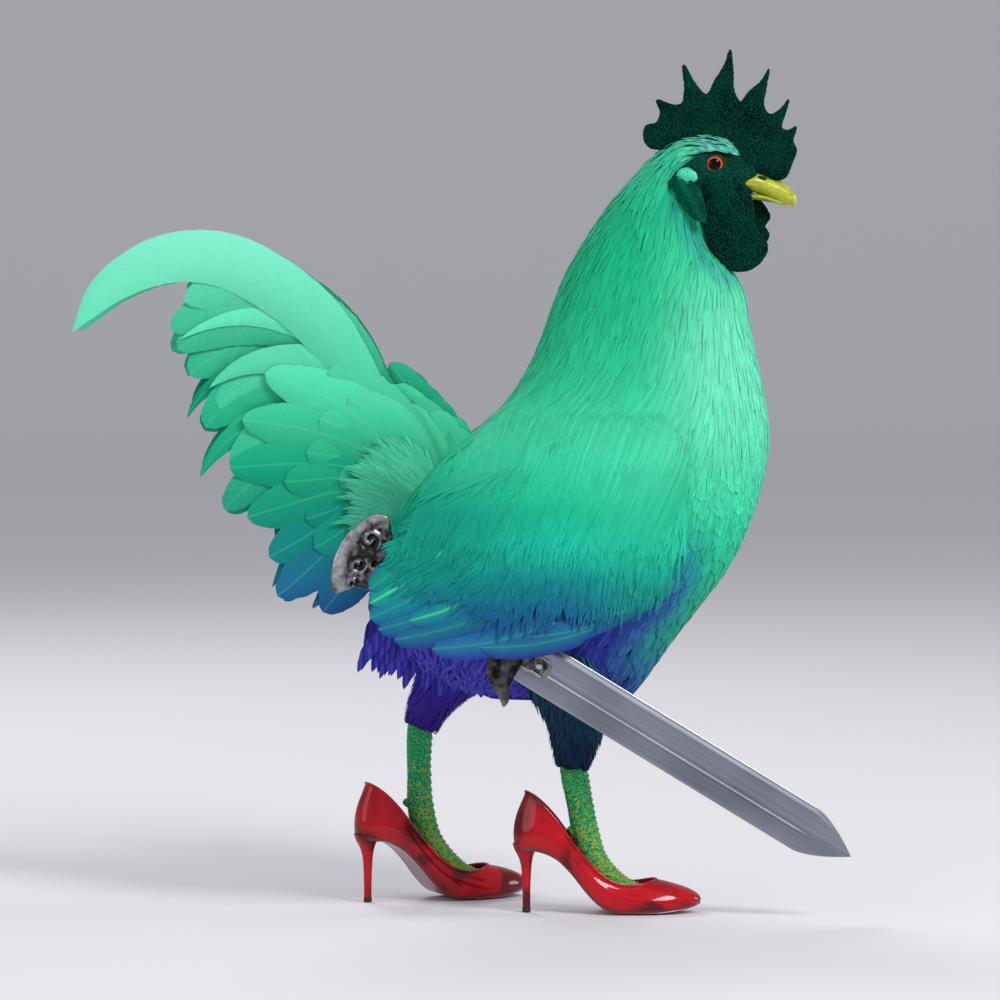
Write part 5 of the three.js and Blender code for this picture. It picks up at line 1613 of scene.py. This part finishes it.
def build_sword():
    steel = metal("blade_steel", srgb(84, 88, 100), srgb(180, 185, 198), 0.34, 14, (0.05, 1, 5), 0.6, "relief_and_highlight",
                  (0.1, 1.05), "own")
    cast = metal("hilt_cast", srgb(26, 24, 24), srgb(128, 124, 122), 0.36, 45, relief_and_highlight="relief_and_highlight",
                 span=(0.4, 0.85))
    chased = metal("hilt_chased", srgb(48, 46, 48), srgb(200, 200, 206), 0.34, 70, wear=0.3, relief_and_highlight="relief_and_highlight",
                   span=(0.3, 0.85))
    length, columns = 170, 45
    x = np.linspace(4, 273, length)
    half = 17.0 * np.clip(1 - (np.maximum(x - 236, 0) / 37.5) ** 1.5, 0.01, 1)
    w = np.linspace(-1, 1, columns)
    u = np.abs(w)
    body = mix(1.5, 0.12, smoothstep(u, 0.66, 1.0))
    groove = 0.85 * (1 - smoothstep(np.abs(u - 0.02), 0.07, 0.24))
    fade = (1 - smoothstep(x, 226, 262))[:, None]
    thick = (body[None] - groove[None] * fade) * np.clip(half / 17, 0.15, 1)[:, None]
    front = grid_points(x[:, None], -thick, half[:, None] * w)
    back = front * (1, -1, 1)
    own = np.concatenate([front, back])
    blade = mesh_object("blade_steel", sword_place(own), plate_faces(length, columns, False), "sword", steel)
    # Painted light on the blade: a painted highlight along both edges, the upper half brighter than the lower,
    # and painted shade in the fuller.
    shine = smoothstep(u, 0.86, 0.95)[None] + 0.35 * np.sign(w)[None]
    shine = shine - 0.6 * np.exp(-((u[None] - 0.25) / 0.04) ** 2) * fade
    set_number(blade, "relief_and_highlight", np.tile(np.broadcast_to(shine, (length, columns)).ravel(), 2))
    set_vectors(blade, "own", own * MM)
    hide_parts("sword_blade")

    half_tongue = [(9, 6.8), (20, 7), (27, 6.6), (29.5, 3)]
    tongue = rounded([(x, -z) for x, z in half_tongue] + half_tongue[::-1], 60)
    langet = fused("langet", [slab(tongue, -3.0, 3.0)], 0.5, chased, 3)
    p = coords(langet)
    step = smoothstep(np.maximum(np.abs(p[:, 2]) / 6.8, np.abs(p[:, 0] - 18) / 11.3), 0.72, 0.86)
    p[:, 1] -= np.sign(p[:, 1]) * 0.5 * (1 - step)
    set_coords(langet, sword_place(p))
    # Painted highlight on the raised rim and painted shade on the sunken middle.
    set_number(langet, "relief_and_highlight", step * 1.6 - 1.2)
    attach(langet, "sword")
    for y_side in (-1, 1):
        line = np.array([(21.5, y_side * 2.0, 0.0), (21.5, y_side * 3.4, 0.0), (21.5, y_side * 3.7, 0.0)])
        points, faces = tube_mesh(line, [2.3, 2.3, 1.6], 24)
        bolt = mesh_object("langet_bolt", sword_place(points), faces, "sword", chased)
        # Painted highlight on the bolt heads.
        set_number(bolt, "relief_and_highlight", np.full(len(points), 1.2))

    half_guard = [(10.5, 0), (10.5, 8), (11.5, 22), (16.4, 34), (15.2, 37), (11.5, 34.5), (3.5, 29.5),
                  (-5, 24.5), (-11.5, 15), (-13.5, 7), (-13.5, 0)]
    outline = rounded(half_guard[:-1] + [(a, -b) for a, b in half_guard[:0:-1]], 120)
    guard = fused("guard_cast", [slab(outline, -6.4, 6.4)], 0.8, cast, 6)
    p = coords(guard)
    rib = np.cos((p[:, 0] - 0.25 * np.abs(p[:, 2])) * 0.42) * 0.8
    p[:, 1] += np.sign(p[:, 1]) * rib * smoothstep(np.abs(p[:, 1]), 2, 6)
    p[:, 1] *= mix(1.0, 0.5, smoothstep(np.abs(p[:, 2]), 14, 37))
    # Painted highlights on the guard's tips and ribs.
    set_number(guard, "relief_and_highlight", 2.0 * smoothstep(np.abs(p[:, 2]), 28, 37) + rib * 0.5)
    set_coords(guard, sword_place(p))
    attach(guard, "sword")
    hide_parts("sword_guard")

    fan = [(-84.4, 225.4), (-87, 242), (-80.5, 260), (-69.5, 272.5), (-57, 279.8), (-48.7, 277.9), (-46, 268),
           (-44, 256), (-42, 248), (-47, 238), (-58, 227), (-68, 229.5), (-77, 227.5)]
    pommel = fused("pommel_cast", [slab(rounded(fan, 140), SWORD_Y - 6.4, SWORD_Y + 6.4)], 0.7, chased, 5)
    p = coords(pommel)
    dx, dz = p[:, 0] + 46, p[:, 2] - 243
    relief_and_highlight = 0.9 * np.cos(np.clip((np.hypot(dx, dz) - 37) / 3, -math.pi, math.pi))
    for x, z, size, curl in ((-60, 262, 8.5, 1), (-69, 245, 8.0, -1), (-57, 244, 5.0, 1), (-72, 233, 4.5, -1)):
        near = np.hypot(p[:, 0] - x, p[:, 2] - z)
        spin = np.arctan2(p[:, 2] - z, p[:, 0] - x) * curl
        relief_and_highlight += 1.1 * np.cos(spin + near * 0.85) * (1 - smoothstep(near, size * 0.7, size))
    relief_and_highlight += 0.5 * fbm(p, 5.0)
    face = smoothstep(np.abs(p[:, 1] - SWORD_Y), 2, 6)
    p[:, 1] += np.sign(p[:, 1] - SWORD_Y) * relief_and_highlight * face
    # Painted highlight on the raised scrolls and rim.
    set_number(pommel, "relief_and_highlight", relief_and_highlight * face)
    set_coords(pommel, p)
    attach(pommel, "sword")
    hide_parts("sword_pommel")

    rows, sides = 180, 48
    gx = np.linspace(-103, -12, rows)
    a = np.linspace(0, 2 * math.pi, sides, endpoint=False)
    swell = 1 + 0.06 * np.cos((gx + 57) / 45 * math.pi)
    wire = 0.45 * np.abs(np.sin(gx[:, None] * 0.75 + a[None]))
    points = grid_points(gx[:, None], (9.0 * swell[:, None] + wire) * np.cos(a),
                         (10.4 * swell[:, None] + wire) * np.sin(a))
    grip = mesh_object("grip_wrap", sword_place(points), capped_tube(rows, sides), "sword", cast)
    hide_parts("sword_grip")


# ------------------------------------------------------------------ what stays from the frame
def paint_armature():
    steel = metal("armature_steel", srgb(112, 116, 122), srgb(176, 180, 186), 0.4, 30, (1, 1, 5))
    plastic = Shader("moulded_plastic", base_color=(*srgb(226, 222, 210), 1), roughness=0.5)
    plastic.bump(plastic.noise(400, 3), 0.15, 0.2)
    for name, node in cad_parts.items():
        if node.hide_render:
            continue
        node.data.materials.clear()
        node.data.materials.append(plastic.mat if name == "squeaker" else steel)


build_trunk()
build_face()
build_comb()
build_eyes()
build_beak()
build_crown()
for sign, name in SIDES:
    build_wing(sign, name)
build_tail()
build_legs()
build_shoes()
build_sword()
paint_armature()
